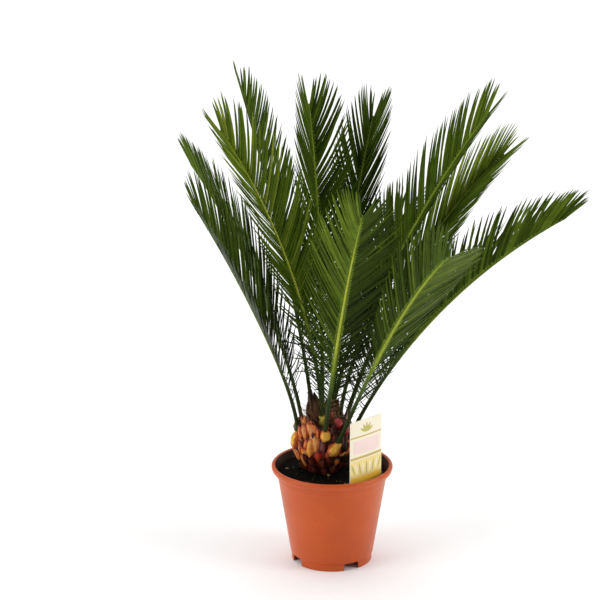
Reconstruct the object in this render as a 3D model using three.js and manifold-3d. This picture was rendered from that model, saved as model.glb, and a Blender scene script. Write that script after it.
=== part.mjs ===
// Potted sago palm: a pineapple-like trunk with a crown of stiff feathered fronds, in a plastic pot
// of peat with a plain plant label. Millimetres, +Z up, origin at the centre of the pot's underside.
// +X is to the right and -Y is towards the front. Bearings are degrees from +X, turning towards +Y.
import * as THREE from 'three';
import { mergeVertices } from 'three/addons/utils/BufferGeometryUtils.js';
import Module from 'manifold-3d';

const wasm = await Module();
wasm.setup();

// Pot
const POT_HEIGHT = 141;
const RIM_RADIUS = 85;
const RIM_BAND = 10;
const WALL = 2;
const WALL_TOP_RADIUS = 77;
const WALL_FOOT_RADIUS = 58;
const FOOT_RADIUS = 56.5;
const FOOT_HEIGHT = 10.5;
const FLOOR = 11;
const FLOOR_UNDER = 8.5;
const CENTRE_FOOT_RADIUS = 17;
const DRAIN_WIDTH = 23;
const DRAIN_INNER = 50;
const DRAIN_BEARINGS = [-61, 29, 119, 209];
const ROUND_SEGMENTS = 48;

// Peat, and the gap between pieces that touch
const CLEAR = 0.3;
const SOIL_TOP = 129;

// Plant label: a card on a stake, standing just inside the rim at the front right
const LABEL_BEARING = -46;
const LABEL_RADIUS = 67;
const LABEL_WIDTH = 61;
const LABEL_TOP = 225;
const LABEL_FOOT = SOIL_TOP + 1.5;
const LABEL_THICK = 1;
const LABEL_CORNER = 3;
const STAKE_WIDTH = 20;
const STAKE_TIP = 104;

// Trunk
const TRUNK_X = -12;
const TRUNK_Y = 12;
const TRUNK_FOOT_Z = SOIL_TOP + CLEAR;
const TRUNK_FOOT_RADIUS = 27;
const TRUNK_BELLY_RADIUS = 39;
const TRUNK_BELLY_Z = 164;
const TRUNK_TOP_Z = 205;
const TRUNK_SHOULDER = 36;
const TRUNK_DOME = 0.018;
const SCALE_COLUMNS = 12;
const SCALE_ROWS = 7;
const SCALE_OUT = 8;
const SCALE_UP = 7;

// Fronds
const SEAT_DEPTH = 9;
const SOCKET_LENGTH = 60;
const BARE_STALK = 0.165;
const LEAFLET_PAIRS = 22;
const LEAFLET_LENGTH = 116;
const LEAFLET_SPLIT = 0.8;
const LEAFLET_THICK = 1.7;
const LEAFLET_HOOK = 10;
const LEAFLET_ROOM = 0.6;
const LEAFLET_ROOT = 4.6;
const LAST_LEAFLET = 0.985;
const CURVE_STEPS = 60;

// Each frond rises from its seat on the trunk, leaves at an elevation (rise), is steeper at its root
// (bend), arches down along its length, and sweeps sideways. Its blade turns about the rib by roll,
// which grows by twist from foot to tip, and both rows of leaflets stand up from the rib's sides by vee.
const FRONDS = [
  { name: 'frond_left_front', seat: 188, ring: 35, head: 226, rise: 64, bend: 24, arch: 11, sweep: 9,
    length: 427, roll: 49, twist: 2, vee: 24 },
  { name: 'frond_left_back', seat: 163, ring: 29, head: 155, rise: 71, bend: 12, arch: 18, sweep: 7,
    length: 411, roll: -21, twist: -16, vee: 25 },
  { name: 'frond_left', seat: -95, ring: 14, head: 174, rise: 81, bend: 9, arch: 25, sweep: -2,
    length: 452, roll: 49, twist: -33, vee: 36 },
  { name: 'frond_back_left', seat: 132, ring: 21, head: 119, rise: 70, bend: 14, arch: 19, sweep: -9,
    length: 492, roll: -42, twist: 3, vee: 24 },
  { name: 'frond_back', seat: 95, ring: 19, head: 97, rise: 82, bend: 9, arch: 23, sweep: 11,
    length: 454, roll: -18, twist: -6, vee: 36 },
  { name: 'frond_back_right', seat: 55, ring: 20, head: 74, rise: 71, bend: 9, arch: 27, sweep: -2,
    length: 458, roll: -8, twist: -5, vee: 52 },
  { name: 'frond_right', seat: -2, ring: 22, head: 2, rise: 71, bend: 19, arch: 17, sweep: 0,
    length: 501, roll: -17, twist: 0, vee: 22 },
  { name: 'frond_right_back', seat: 28, ring: 30, head: 44, rise: 62, bend: 7, arch: 41, sweep: 5,
    length: 490, roll: -39, twist: 15, vee: 60 },
  { name: 'frond_right_low', seat: -14, ring: 36, head: -20, rise: 60, bend: 9, arch: 28, sweep: 13,
    length: 469, roll: 18, twist: 2, vee: 50 },
  { name: 'frond_right_front', seat: -62, ring: 36, head: -64, rise: 62, bend: -4, arch: 32, sweep: -22,
    length: 491, roll: 31, twist: 20, vee: 37 },
  { name: 'frond_front', seat: -90, ring: 33, head: -78, rise: 66, bend: 2, arch: 14, sweep: 0,
    length: 450, roll: 24, twist: 0, vee: 16 },
  { name: 'frond_inner_back', seat: 20, ring: 10, head: 57, rise: 61, bend: 16, arch: 22, sweep: 0,
    length: 325, roll: 0, twist: 0, vee: 30 },
];

const rad = THREE.MathUtils.degToRad;
const mix = THREE.MathUtils.lerp;

// Value at x of a line through pairs of [x, value]
function along(pairs, x) {
  if (x <= pairs[0][0]) return pairs[0][1];
  for (let i = 1; i < pairs.length; i += 1) {
    const [x0, y0] = pairs[i - 1];
    const [x1, y1] = pairs[i];
    if (x <= x1) return mix(y0, y1, (x - x0) / (x1 - x0));
  }
  return pairs[pairs.length - 1][1];
}

function solid(geometry) {
  const bare = geometry.index ? geometry : geometry.clone();
  bare.deleteAttribute('normal');
  bare.deleteAttribute('uv');
  const merged = mergeVertices(bare, 1e-4);
  const mesh = new wasm.Mesh({
    numProp: 3,
    vertProperties: new Float32Array(merged.attributes.position.array),
    triVerts: new Uint32Array(merged.index.array),
  });
  mesh.merge();
  return new wasm.Manifold(mesh);
}

function geometryOf(body) {
  const mesh = body.getMesh();
  const geometry = new THREE.BufferGeometry();
  const position = new Float32Array(mesh.vertProperties);
  geometry.setAttribute('position', new THREE.BufferAttribute(position, 3));
  geometry.setIndex(new THREE.BufferAttribute(new Uint32Array(mesh.triVerts), 1));
  geometry.computeVertexNormals();
  return geometry;
}

function meshOf(points, faces) {
  const geometry = new THREE.BufferGeometry();
  geometry.setAttribute('position', new THREE.Float32BufferAttribute(points.flatMap((p) => p.toArray()), 3));
  geometry.setIndex(faces);
  return geometry;
}

// Closed skin over a row of rings of equal count; a last ring of one point closes it to a tip
function skin(rings) {
  const points = rings.flat();
  const count = rings[0].length;
  const faces = [];
  for (let j = 1; j < count - 1; j += 1) faces.push(0, j + 1, j);
  for (let i = 0; i < rings.length - 1; i += 1) {
    const a = i * count;
    const tip = rings[i + 1].length === 1;
    for (let j = 0; j < count; j += 1) {
      const k = (j + 1) % count;
      if (tip) {
        faces.push(a + j, a + k, a + count);
      } else {
        faces.push(a + j, a + k, a + count + j, a + k, a + count + k, a + count + j);
      }
    }
  }
  if (rings[rings.length - 1].length > 1) {
    const a = (rings.length - 1) * count;
    for (let j = 1; j < count - 1; j += 1) faces.push(a, a + j, a + j + 1);
  }
  return solid(meshOf(points, faces));
}

function turned(profile) {
  const points = profile.map(([r, z]) => new THREE.Vector2(r, z));
  const geometry = new THREE.LatheGeometry(points, ROUND_SEGMENTS);
  geometry.rotateX(Math.PI / 2);
  return geometry;
}

// Pot

function makePot() {
  const rimUnder = POT_HEIGHT - RIM_BAND;
  const profile = [
    [0, 0],
    [CENTRE_FOOT_RADIUS, 0],
    [CENTRE_FOOT_RADIUS + 2, FLOOR_UNDER],
    [FOOT_RADIUS - WALL - 0.6, FLOOR_UNDER],
    [FOOT_RADIUS - WALL, 0],
    [FOOT_RADIUS - 0.6, 0],
    [FOOT_RADIUS, 0.8],
    [FOOT_RADIUS, FOOT_HEIGHT],
    [WALL_FOOT_RADIUS, FOOT_HEIGHT + 0.8],
    [WALL_TOP_RADIUS, rimUnder - 3],
    [WALL_TOP_RADIUS + 1.4, rimUnder - 1],
    [RIM_RADIUS - 2, rimUnder + 1],
    [RIM_RADIUS - 0.3, rimUnder + 3.5],
    [RIM_RADIUS, POT_HEIGHT - 3.5],
    [RIM_RADIUS - 1, POT_HEIGHT - 0.8],
    [RIM_RADIUS - 2.6, POT_HEIGHT],
    [RIM_RADIUS - 4.6, POT_HEIGHT - 1],
    [WALL_TOP_RADIUS - WALL + 1, rimUnder],
    [WALL_TOP_RADIUS - WALL - 0.4, rimUnder - 4],
    [WALL_FOOT_RADIUS - WALL, FOOT_HEIGHT + 3],
    [WALL_FOOT_RADIUS - WALL - 1.5, FLOOR],
    [0, FLOOR],
  ];
  let pot = solid(turned(profile));
  const depth = RIM_RADIUS - DRAIN_INNER;
  for (const bearing of DRAIN_BEARINGS) {
    const notch = new THREE.BoxGeometry(depth, DRAIN_WIDTH, FOOT_HEIGHT + 10);
    notch.translate(DRAIN_INNER + depth / 2, 0, FOOT_HEIGHT / 2 - 5);
    notch.rotateZ(rad(bearing));
    pot = pot.subtract(solid(notch));
  }
  return pot;
}

// Label

function labelPlate(grow) {
  const half = LABEL_WIDTH / 2 + grow;
  const top = LABEL_TOP + grow;
  const foot = LABEL_FOOT - grow;
  const shape = new THREE.Shape();
  shape.moveTo(-half + LABEL_CORNER, foot);
  shape.lineTo(-STAKE_WIDTH / 2 - grow, foot);
  shape.lineTo(-STAKE_WIDTH / 3 - grow, STAKE_TIP - grow);
  shape.lineTo(STAKE_WIDTH / 3 + grow, STAKE_TIP - grow);
  shape.lineTo(STAKE_WIDTH / 2 + grow, foot);
  shape.lineTo(half - LABEL_CORNER, foot);
  shape.absarc(half - LABEL_CORNER, foot + LABEL_CORNER, LABEL_CORNER, -Math.PI / 2, 0);
  shape.absarc(half - LABEL_CORNER, top - LABEL_CORNER, LABEL_CORNER, 0, Math.PI / 2);
  shape.absarc(-half + LABEL_CORNER, top - LABEL_CORNER, LABEL_CORNER, Math.PI / 2, Math.PI);
  shape.absarc(-half + LABEL_CORNER, foot + LABEL_CORNER, LABEL_CORNER, Math.PI, 1.5 * Math.PI);
  const thick = LABEL_THICK + 2 * grow;
  const plate = new THREE.ExtrudeGeometry(shape, { depth: thick, bevelEnabled: false, curveSegments: 4 });
  plate.translate(0, 0, -thick / 2);
  plate.rotateX(Math.PI / 2);
  plate.rotateZ(rad(LABEL_BEARING + 90));
  plate.translate(LABEL_RADIUS * Math.cos(rad(LABEL_BEARING)), LABEL_RADIUS * Math.sin(rad(LABEL_BEARING)), 0);
  return solid(plate);
}

// Peat, level round the trunk, with a shallow dip before the wall

function makeSoil(label) {
  const rimUnder = POT_HEIGHT - RIM_BAND;
  const inside = [
    WALL_FOOT_RADIUS - WALL - 1.7 - CLEAR,
    WALL_FOOT_RADIUS - WALL - 0.1 - CLEAR,
    WALL_TOP_RADIUS - WALL - 0.4 - CLEAR,
  ];
  const profile = [
    [0, FLOOR + CLEAR],
    [inside[0], FLOOR + CLEAR],
    [inside[1], FOOT_HEIGHT + 3],
    [inside[2], rimUnder - 4],
    [inside[2] - 2, SOIL_TOP - 0.6],
    [inside[2] - 9, SOIL_TOP - 1.4],
    [50, SOIL_TOP],
    [0, SOIL_TOP],
  ];
  return solid(turned(profile)).subtract(label);
}

// Trunk

function around(bearing, radius, z) {
  return new THREE.Vector3(
    TRUNK_X + radius * Math.cos(rad(bearing)),
    TRUNK_Y + radius * Math.sin(rad(bearing)),
    z,
  );
}

const SHOULDER_Z = TRUNK_TOP_Z - TRUNK_DOME * TRUNK_SHOULDER ** 2;
const TRUNK_SIDE = [
  [TRUNK_FOOT_Z, TRUNK_FOOT_RADIUS],
  [mix(TRUNK_FOOT_Z, TRUNK_BELLY_Z, 0.4), mix(TRUNK_FOOT_RADIUS, TRUNK_BELLY_RADIUS, 0.62)],
  [TRUNK_BELLY_Z, TRUNK_BELLY_RADIUS],
  [SHOULDER_Z, TRUNK_SHOULDER],
];

// The trunk's skin is a lattice of lozenges, as on a pineapple. Each lozenge is one cut leaf base,
// drawn out to a point that leans outwards and up.
function makeTrunk() {
  const faces = [];
  const points = [];
  const row = (k, shift, radius, z) => {
    const start = points.length;
    for (let j = 0; j < SCALE_COLUMNS; j += 1) {
      points.push(around((360 * (j + shift)) / SCALE_COLUMNS + k, radius, z));
    }
    return start;
  };
  const at = (start, j) => start + ((j + SCALE_COLUMNS) % SCALE_COLUMNS);
  const rows = [];
  for (let k = 0; k <= SCALE_ROWS; k += 1) {
    const z = mix(TRUNK_FOOT_Z, SHOULDER_Z, (k / SCALE_ROWS) ** 0.92);
    rows.push(row(0, (k % 2) / 2, along(TRUNK_SIDE, z), z));
  }
  for (let k = 1; k < SCALE_ROWS; k += 1) {
    for (let j = 0; j < SCALE_COLUMNS; j += 1) {
      // Rows are set half a column apart, so a lozenge's low and high corners share one bearing
      const left = at(rows[k], j);
      const right = at(rows[k], j + 1);
      const low = at(rows[k - 1], k % 2 ? j + 1 : j);
      const high = at(rows[k + 1], k % 2 ? j + 1 : j);
      const bearing = (360 * (j + 0.5 + (k % 2) / 2)) / SCALE_COLUMNS;
      const z = points[left].z + SCALE_UP + 1.5 * Math.sin(2.4 * j + k);
      const tip = points.length;
      const out = SCALE_OUT * (k === 1 ? 0.6 : 1) + 1.2 * Math.sin(1.7 * j + 3 * k);
      points.push(around(bearing, along(TRUNK_SIDE, points[left].z) + out, z));
      faces.push(low, right, tip, right, high, tip, high, left, tip, left, low, tip);
    }
  }
  const dome = [rows[SCALE_ROWS]];
  for (const part of [0.72, 0.4]) {
    const radius = TRUNK_SHOULDER * part;
    dome.push(row(0, (SCALE_ROWS % 2) / 2, radius, TRUNK_TOP_Z - TRUNK_DOME * radius ** 2));
  }
  points.push(new THREE.Vector3(TRUNK_X, TRUNK_Y, TRUNK_TOP_Z));
  const crown = points.length - 1;
  points.push(new THREE.Vector3(TRUNK_X, TRUNK_Y, TRUNK_FOOT_Z));
  const foot = points.length - 1;
  for (let j = 0; j < SCALE_COLUMNS; j += 1) {
    faces.push(foot, at(rows[0], j + 1), at(rows[0], j));
    faces.push(at(rows[0], j), at(rows[0], j + 1), at(rows[1], j));
    const top = at(rows[SCALE_ROWS - 1], SCALE_ROWS % 2 ? j + 1 : j);
    faces.push(top, at(dome[0], j + 1), at(dome[0], j));
    for (let i = 0; i < dome.length - 1; i += 1) {
      const [a, b, c, d] = [at(dome[i], j), at(dome[i], j + 1), at(dome[i + 1], j + 1), at(dome[i + 1], j)];
      faces.push(a, b, c, a, c, d);
    }
    faces.push(at(dome[dome.length - 1], j), at(dome[dome.length - 1], j + 1), crown);
  }
  return solid(meshOf(points, faces));
}

// Fronds

const STALK_BASE = 4.4;
const STALK_NECK = 3.3;
const STALK_TAPER = [[0, 1], [0.15, 0.95], [0.5, 0.72], [0.85, 0.46], [1, 0.3]];
const LEAFLET_BROADEST = 0.4;
const LEAFLET_REACH = [[0, 0.35], [0.12, 0.6], [0.35, 1], [0.65, 0.95], [0.85, 0.8], [0.95, 0.66], [1, 0.42]];
const LEAFLET_ANGLE = [[0, 62], [0.3, 41], [0.6, 39], [0.85, 33], [0.95, 27], [1, 18]];

// Points and directions along a frond's rib
function frondCurve(frond) {
  const seatZ = TRUNK_TOP_Z - SEAT_DEPTH - TRUNK_DOME * frond.ring ** 2;
  const point = around(frond.seat, frond.ring, seatZ);
  const step = frond.length / CURVE_STEPS;
  const points = [point.clone()];
  const aims = [];
  for (let i = 0; i < CURVE_STEPS; i += 1) {
    const u = (i + 0.5) / CURVE_STEPS;
    const tilt = rad(frond.rise + frond.bend * Math.exp(-u / 0.12) - frond.arch * u ** 1.4);
    const head = rad(frond.head + frond.sweep * (u - 0.5));
    const aim = new THREE.Vector3(
      Math.cos(tilt) * Math.cos(head),
      Math.cos(tilt) * Math.sin(head),
      Math.sin(tilt),
    );
    point.addScaledVector(aim, step);
    points.push(point.clone());
    aims.push(aim);
  }
  return { points, aims };
}

// Place and axes at a share u of the rib: aim along it, side to its right and up to its upper face,
// both turned by the blade's roll
function stationAt(frond, curve, u) {
  const spot = THREE.MathUtils.clamp(u, 0, 1) * CURVE_STEPS;
  const k = Math.min(Math.floor(spot), CURVE_STEPS - 1);
  const point = curve.points[k].clone().lerp(curve.points[k + 1], spot - k);
  const aim = curve.aims[k].clone();
  const head = rad(frond.head + frond.sweep * (u - 0.5));
  const roll = rad(frond.roll + frond.twist * (u - 0.55));
  const side = new THREE.Vector3(Math.sin(head), -Math.cos(head), 0).applyAxisAngle(aim, -roll);
  const up = side.clone().cross(aim).normalize();
  return { point, aim, side, up };
}

function stalkRadius(frond, u) {
  const base = STALK_BASE + Math.max(0, frond.ring - 22) * 0.14;
  const neck = STALK_NECK * along(STALK_TAPER, u);
  return u < 0.05 ? mix(base, neck, u / 0.05) : neck;
}

// The four corners of the rib's section: upper right, lower right, lower left, upper left
function stalkRing(frond, curve, u, grow) {
  const { point, aim, side, up } = stationAt(frond, curve, u);
  if (u === 0) point.addScaledVector(aim, -grow);
  const half = stalkRadius(frond, u) + grow;
  return [[1, 1], [1, -1], [-1, -1], [-1, 1]].map(([x, y]) => (
    point.clone().addScaledVector(side, x * half).addScaledVector(up, y * half)
  ));
}

const SOCKET_STATIONS = [0, 0.018, 0.05];

// Larger rod over the rib's foot, which cuts its socket in the trunk
function socket(frond, curve) {
  const stations = [...SOCKET_STATIONS, SOCKET_LENGTH / frond.length];
  return skin(stations.map((u) => stalkRing(frond, curve, u, CLEAR + 0.05)));
}

function leafletPlace(frond, index, pairs) {
  const w = index / (pairs - 1);
  return { w, u: mix(BARE_STALK, LAST_LEAFLET, w) };
}

// The corners of the rib's side face that a leaflet grows from, and its own section and tip
function leaflet(frond, curve, index, pairs, hand, reach) {
  const { w, u } = leafletPlace(frond, index, pairs);
  const { point, aim, side, up } = stationAt(frond, curve, u);
  const vee = rad(frond.vee);
  const out = side.clone().multiplyScalar(hand * Math.cos(vee)).addScaledVector(up, Math.sin(vee));
  const length = LEAFLET_LENGTH * along(LEAFLET_REACH, w) * reach;
  const angle = rad(along(LEAFLET_ANGLE, w));
  const spacing = (frond.length * (LAST_LEAFLET - BARE_STALK)) / (pairs - 1);
  const pitch = spacing * Math.sin(angle - rad(LEAFLET_HOOK) * LEAFLET_BROADEST);
  const width = Math.min(pitch - LEAFLET_SPLIT, length * 0.14 + 2);
  const line = [point.clone()];
  const place = point.clone();
  const shares = [0, LEAFLET_BROADEST, 1];
  let section;
  for (let i = 1; i < shares.length; i += 1) {
    const bent = angle - rad(LEAFLET_HOOK) * shares[i];
    const ahead = aim.clone().multiplyScalar(Math.cos(bent)).addScaledVector(out, Math.sin(bent));
    place.addScaledVector(ahead, length * (shares[i] - shares[i - 1]));
    line.push(place.clone());
    if (i === 1) {
      const front = aim.clone().multiplyScalar(Math.sin(bent)).addScaledVector(out, -Math.cos(bent));
      const ridge = ahead.clone().cross(front).multiplyScalar(hand).normalize();
      section = [[-1, 1], [-1, -1], [1, -1], [1, 1]].map(([x, y]) => (
        place.clone().addScaledVector(front, (x * width) / 2).addScaledVector(ridge, (y * LEAFLET_THICK) / 2)
      ));
    }
  }
  const half = LEAFLET_ROOT / 2 / frond.length;
  const back = stalkRing(frond, curve, u - half, 0);
  const front = stalkRing(frond, curve, u + half, 0);
  const [high, low] = hand > 0 ? [0, 1] : [3, 2];
  const root = [back[high], back[low], front[low], front[high]];
  // The loop runs the same way round, seen from outside, on both sides of the rib
  const order = hand > 0 ? [0, 1, 2, 3] : [1, 0, 3, 2];
  const rings = [root, section].map((ring) => order.map((n) => ring[n]));
  return { body: skin([...rings, [place]]), line, half: width / 2, section: rings[1], tip: place, index, hand };
}

// The rib and its leaflets as one skin: a rod with a ring at each side of every leaflet's root,
// whose side faces are drawn out into the leaflets
function frondBody({ frond, curve, pairs, leaflets }) {
  const half = LEAFLET_ROOT / 2 / frond.length;
  const stations = [...SOCKET_STATIONS, BARE_STALK * 0.55];
  for (let i = 0; i < pairs; i += 1) {
    const { u } = leafletPlace(frond, i, pairs);
    stations.push(u - half, u + half);
  }
  stations.push(1);
  const points = stations.flatMap((u) => stalkRing(frond, curve, u, 0));
  const faces = [0, 2, 1, 0, 3, 2];
  const first = SOCKET_STATIONS.length + 1;
  for (let i = 0; i < stations.length - 1; i += 1) {
    const pair = (i - first) / 2;
    for (let j = 0; j < 4; j += 1) {
      const k = (j + 1) % 4;
      const [a, b, c, d] = [4 * i + j, 4 * i + k, 4 * i + 4 + k, 4 * i + 4 + j];
      // Faces 0 and 2 are the right and left sides
      const hand = { 0: 1, 2: -1 }[j];
      const leaf = leaflets.find((item) => item.index === pair && item.hand === hand);
      if (!hand || !leaf) {
        faces.push(a, b, d, b, c, d);
        continue;
      }
      const tip = points.length + 4;
      const ring = [0, 1, 2, 3].map((n) => points.length + n);
      points.push(...leaf.section, leaf.tip);
      [a, b, c, d].forEach((corner, n) => {
        const m = (n + 1) % 4;
        const next = [a, b, c, d][m];
        faces.push(corner, next, ring[n], next, ring[m], ring[n]);
        faces.push(ring[n], ring[m], tip);
      });
    }
  }
  const last = 4 * (stations.length - 1);
  faces.push(last, last + 1, last + 2, last, last + 2, last + 3);
  return solid(meshOf(points, faces));
}

// Least distance between two short lines, to skip pairs that lie far apart
function lineGap(a, b) {
  let least = Infinity;
  for (let i = 0; i < a.length - 1; i += 1) {
    for (let j = 0; j < b.length - 1; j += 1) {
      least = Math.min(least, segmentGap(a[i], a[i + 1], b[j], b[j + 1]));
    }
  }
  return least;
}

function segmentGap(p, q, r, s) {
  const u = q.clone().sub(p);
  const v = s.clone().sub(r);
  const w = p.clone().sub(r);
  const a = u.dot(u);
  const b = u.dot(v);
  const c = v.dot(v);
  const d = u.dot(w);
  const e = v.dot(w);
  const det = a * c - b * b;
  let x = det > 1e-9 ? THREE.MathUtils.clamp((b * e - c * d) / det, 0, 1) : 0;
  const y = THREE.MathUtils.clamp((b * x + e) / c, 0, 1);
  x = THREE.MathUtils.clamp((b * y - d) / a, 0, 1);
  return w.addScaledVector(u, x).addScaledVector(v, -y).length();
}

function makeFronds(fixed) {
  const plans = FRONDS.map((frond) => {
    const curve = frondCurve(frond);
    const line = [];
    for (let i = 0; i <= 20; i += 1) line.push(stationAt(frond, curve, i / 20).point);
    const pairs = Math.round((LEAFLET_PAIRS * frond.length) / 456);
    const plan = { frond, curve, line, pairs, leaflets: [] };
    return { ...plan, body: frondBody(plan) };
  });
  const most = Math.max(...plans.map((plan) => plan.pairs));
  // From the tips inwards, so that the outline comes first; a leaflet that would touch another
  // frond is made shorter, and left out if even a short one would touch it.
  for (let back = 0; back < most; back += 1) {
    for (const plan of plans) {
      const index = plan.pairs - 1 - back;
      if (index < 0) continue;
      for (const hand of [-1, 1]) {
        for (const reach of [1, 0.8, 0.6, 0.42]) {
          const leaf = leaflet(plan.frond, plan.curve, index, plan.pairs, hand, reach);
          if (plans.every((other) => other === plan || roomBetween(leaf, other))
            && fixed.every((body) => body.minGap(leaf.body, 2) > LEAFLET_ROOM)) {
            plan.leaflets.push(leaf);
            break;
          }
        }
      }
    }
  }
  return plans;
}

function roomBetween(leaf, plan) {
  if (lineGap(leaf.line, plan.line) < leaf.half + 12
    && leaf.body.minGap(plan.body, 1) < LEAFLET_ROOM) return false;
  return plan.leaflets.every((other) => (
    lineGap(leaf.line, other.line) > leaf.half + other.half + 2
    || leaf.body.minGap(other.body, 1) > LEAFLET_ROOM
  ));
}

// Whole plant

const label = labelPlate(0);
const pot = makePot();
const soil = makeSoil(labelPlate(CLEAR));
const plans = makeFronds([label, pot]);
const sockets = plans.map((plan) => socket(plan.frond, plan.curve));
const trunk = makeTrunk().subtract(wasm.Manifold.union(sockets));

const LOOKS = {
  pot: { color: 0xb8623a, roughness: 0.55 },
  soil: { color: 0x1a1410, roughness: 0.95 },
  label: { color: 0xe9ddc4, roughness: 0.5 },
  trunk: { color: 0x9a5a2c, roughness: 0.85 },
  frond: { color: 0x2f5524, roughness: 0.4 },
};

const plant = new THREE.Group();

function addPiece(name, body, look) {
  const material = new THREE.MeshStandardMaterial({ ...LOOKS[look], metalness: 0 });
  const mesh = new THREE.Mesh(geometryOf(body), material);
  mesh.name = name;
  plant.add(mesh);
}

addPiece('pot', pot, 'pot');
addPiece('soil', soil, 'soil');
addPiece('plant_label', label, 'label');
addPiece('trunk', trunk, 'trunk');
for (const plan of plans) {
  addPiece(plan.frond.name, frondBody(plan), 'frond');
}

export default plant;
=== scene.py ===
"""Potted sago palm: a plastic nursery pot of peat, a scaly trunk, feathered fronds and a plain plant label.

Lengths are in millimetres here and in metres in the meshes. Bearings are degrees from +X, turning to +Y.
"""

import math
import random

import bmesh
import bpy
from bpy.props import FloatProperty, FloatVectorProperty, IntProperty, PointerProperty
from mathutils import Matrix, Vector, noise
from mathutils.bvhtree import BVHTree


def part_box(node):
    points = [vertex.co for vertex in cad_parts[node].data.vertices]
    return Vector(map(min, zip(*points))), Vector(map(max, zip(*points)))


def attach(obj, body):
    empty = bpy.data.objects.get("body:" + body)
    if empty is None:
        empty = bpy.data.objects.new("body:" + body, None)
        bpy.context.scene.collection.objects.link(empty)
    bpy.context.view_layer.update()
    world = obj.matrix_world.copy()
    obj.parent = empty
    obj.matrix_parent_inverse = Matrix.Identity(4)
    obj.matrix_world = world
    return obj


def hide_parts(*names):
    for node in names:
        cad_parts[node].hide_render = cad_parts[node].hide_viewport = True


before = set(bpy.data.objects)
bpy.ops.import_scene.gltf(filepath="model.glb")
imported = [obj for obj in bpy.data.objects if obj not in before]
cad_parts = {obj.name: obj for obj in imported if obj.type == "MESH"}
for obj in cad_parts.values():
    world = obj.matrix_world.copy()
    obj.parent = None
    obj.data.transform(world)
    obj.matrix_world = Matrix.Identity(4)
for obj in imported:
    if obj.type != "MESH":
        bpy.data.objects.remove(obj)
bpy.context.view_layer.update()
# Vectors of noise would otherwise change with the clock
noise.seed_set(7)

bl_info = {
    "name": "Potted Sago Palm",
    "version": (1, 0, 0),
    "blender": (4, 5, 0),
    "location": "3D View > Sidebar > Palm",
    "description": "Builds a potted sago palm around its solid model",
    "category": "Add Mesh",
}

MM = 0.001
BODY = "root"


def top_of(node):
    """Highest point of a node of the solid model, in millimetres."""
    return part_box(node)[1].z / MM


# Pot, as in the solid model
POT_HEIGHT = top_of("pot")
RIM_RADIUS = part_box("pot")[1].x / MM
RIM_BAND = 10
WALL = 2
WALL_TOP = 77
WALL_FOOT = 58
COLLAR_DROP = 11
COLLAR = 0.7
FOOT_RADIUS = 56.5
FOOT_HEIGHT = 10.5
FLOOR = 11
FLOOR_UNDER = 8.5
CENTRE_FOOT = 17
DRAIN_WIDTH = 23
DRAIN_INNER = 50
DRAIN_CORNER = 2.5
DRAIN_UNDER = 5
DRAIN_BEARINGS = (-61, 29, 119, 209)
ROUND_SEGMENTS = 160
POT_ROUNDING = 1.4
# Depth under the rim's top where the pot's darker inside begins: peat stain and painted shade
STAIN_AND_SHADE_DROP = 1.3

# Peat
SOIL_TOP = top_of("soil")
CLEAR = 0.3
HEAP_HEIGHT = 1.6
HEAP_REACH = 9
CLOD_WIDTH = 9
GRAIN_WIDTH = 2.1
SOIL_RINGS = 46
SOIL_SEGMENTS = 132
ROOT_FIBRES = 70
FIBRE_POINTS = 6
FIBRE_STEP = 2.2

# Plant label
LABEL_BEARING = -46
LABEL_RADIUS = 67
LABEL_WIDTH = 61
LABEL_TOP = top_of("plant_label")
LABEL_FOOT = SOIL_TOP + 1.5
LABEL_THICK = 1
LABEL_CORNER = 3
STAKE_WIDTH = 20
STAKE_TIP = 104

# Trunk
TRUNK_X = -12
TRUNK_Y = 12
TRUNK_FOOT_Z = SOIL_TOP + CLEAR
TRUNK_TOP_Z = 205
TRUNK_FOOT_RADIUS = 27
TRUNK_BELLY_RADIUS = 39
TRUNK_BELLY_Z = 164
TRUNK_SHOULDER = 36
TRUNK_DOME = 0.018
SHOULDER_Z = TRUNK_TOP_Z - TRUNK_DOME * TRUNK_SHOULDER ** 2
SEAT_DEPTH = 9
CROWN_RADIUS = 35
OUTER_RING = 26

# Fronds, by the solid model's rule
BARE_STALK = 0.165
LAST_LEAFLET = 0.985
STALK_STEPS = 7
LEAFLET_HOOK = 10
STALK_BASE = 4.4
STALK_NECK = 3.3
STALK_TAPER = ((0, 1), (0.15, 0.95), (0.5, 0.72), (0.85, 0.46), (1, 0.3))
LEAFLET_REACH = ((0, 0.35), (0.12, 0.6), (0.35, 1), (0.65, 0.95), (0.85, 0.8), (0.95, 0.66), (1, 0.42))
LEAFLET_ANGLE = ((0, 62), (0.3, 41), (0.6, 39), (0.85, 33), (0.95, 27), (1, 18))
USUAL_LENGTH = 456
BEND_REACH = 0.12
ARCH_POWER = 1.4
ROLL_MIDDLE = 0.55
FLARE_REACH = 0.05
FLARE_RING = 22
FLARE_GROWTH = 0.14
CURVE_STEPS = 60

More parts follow.
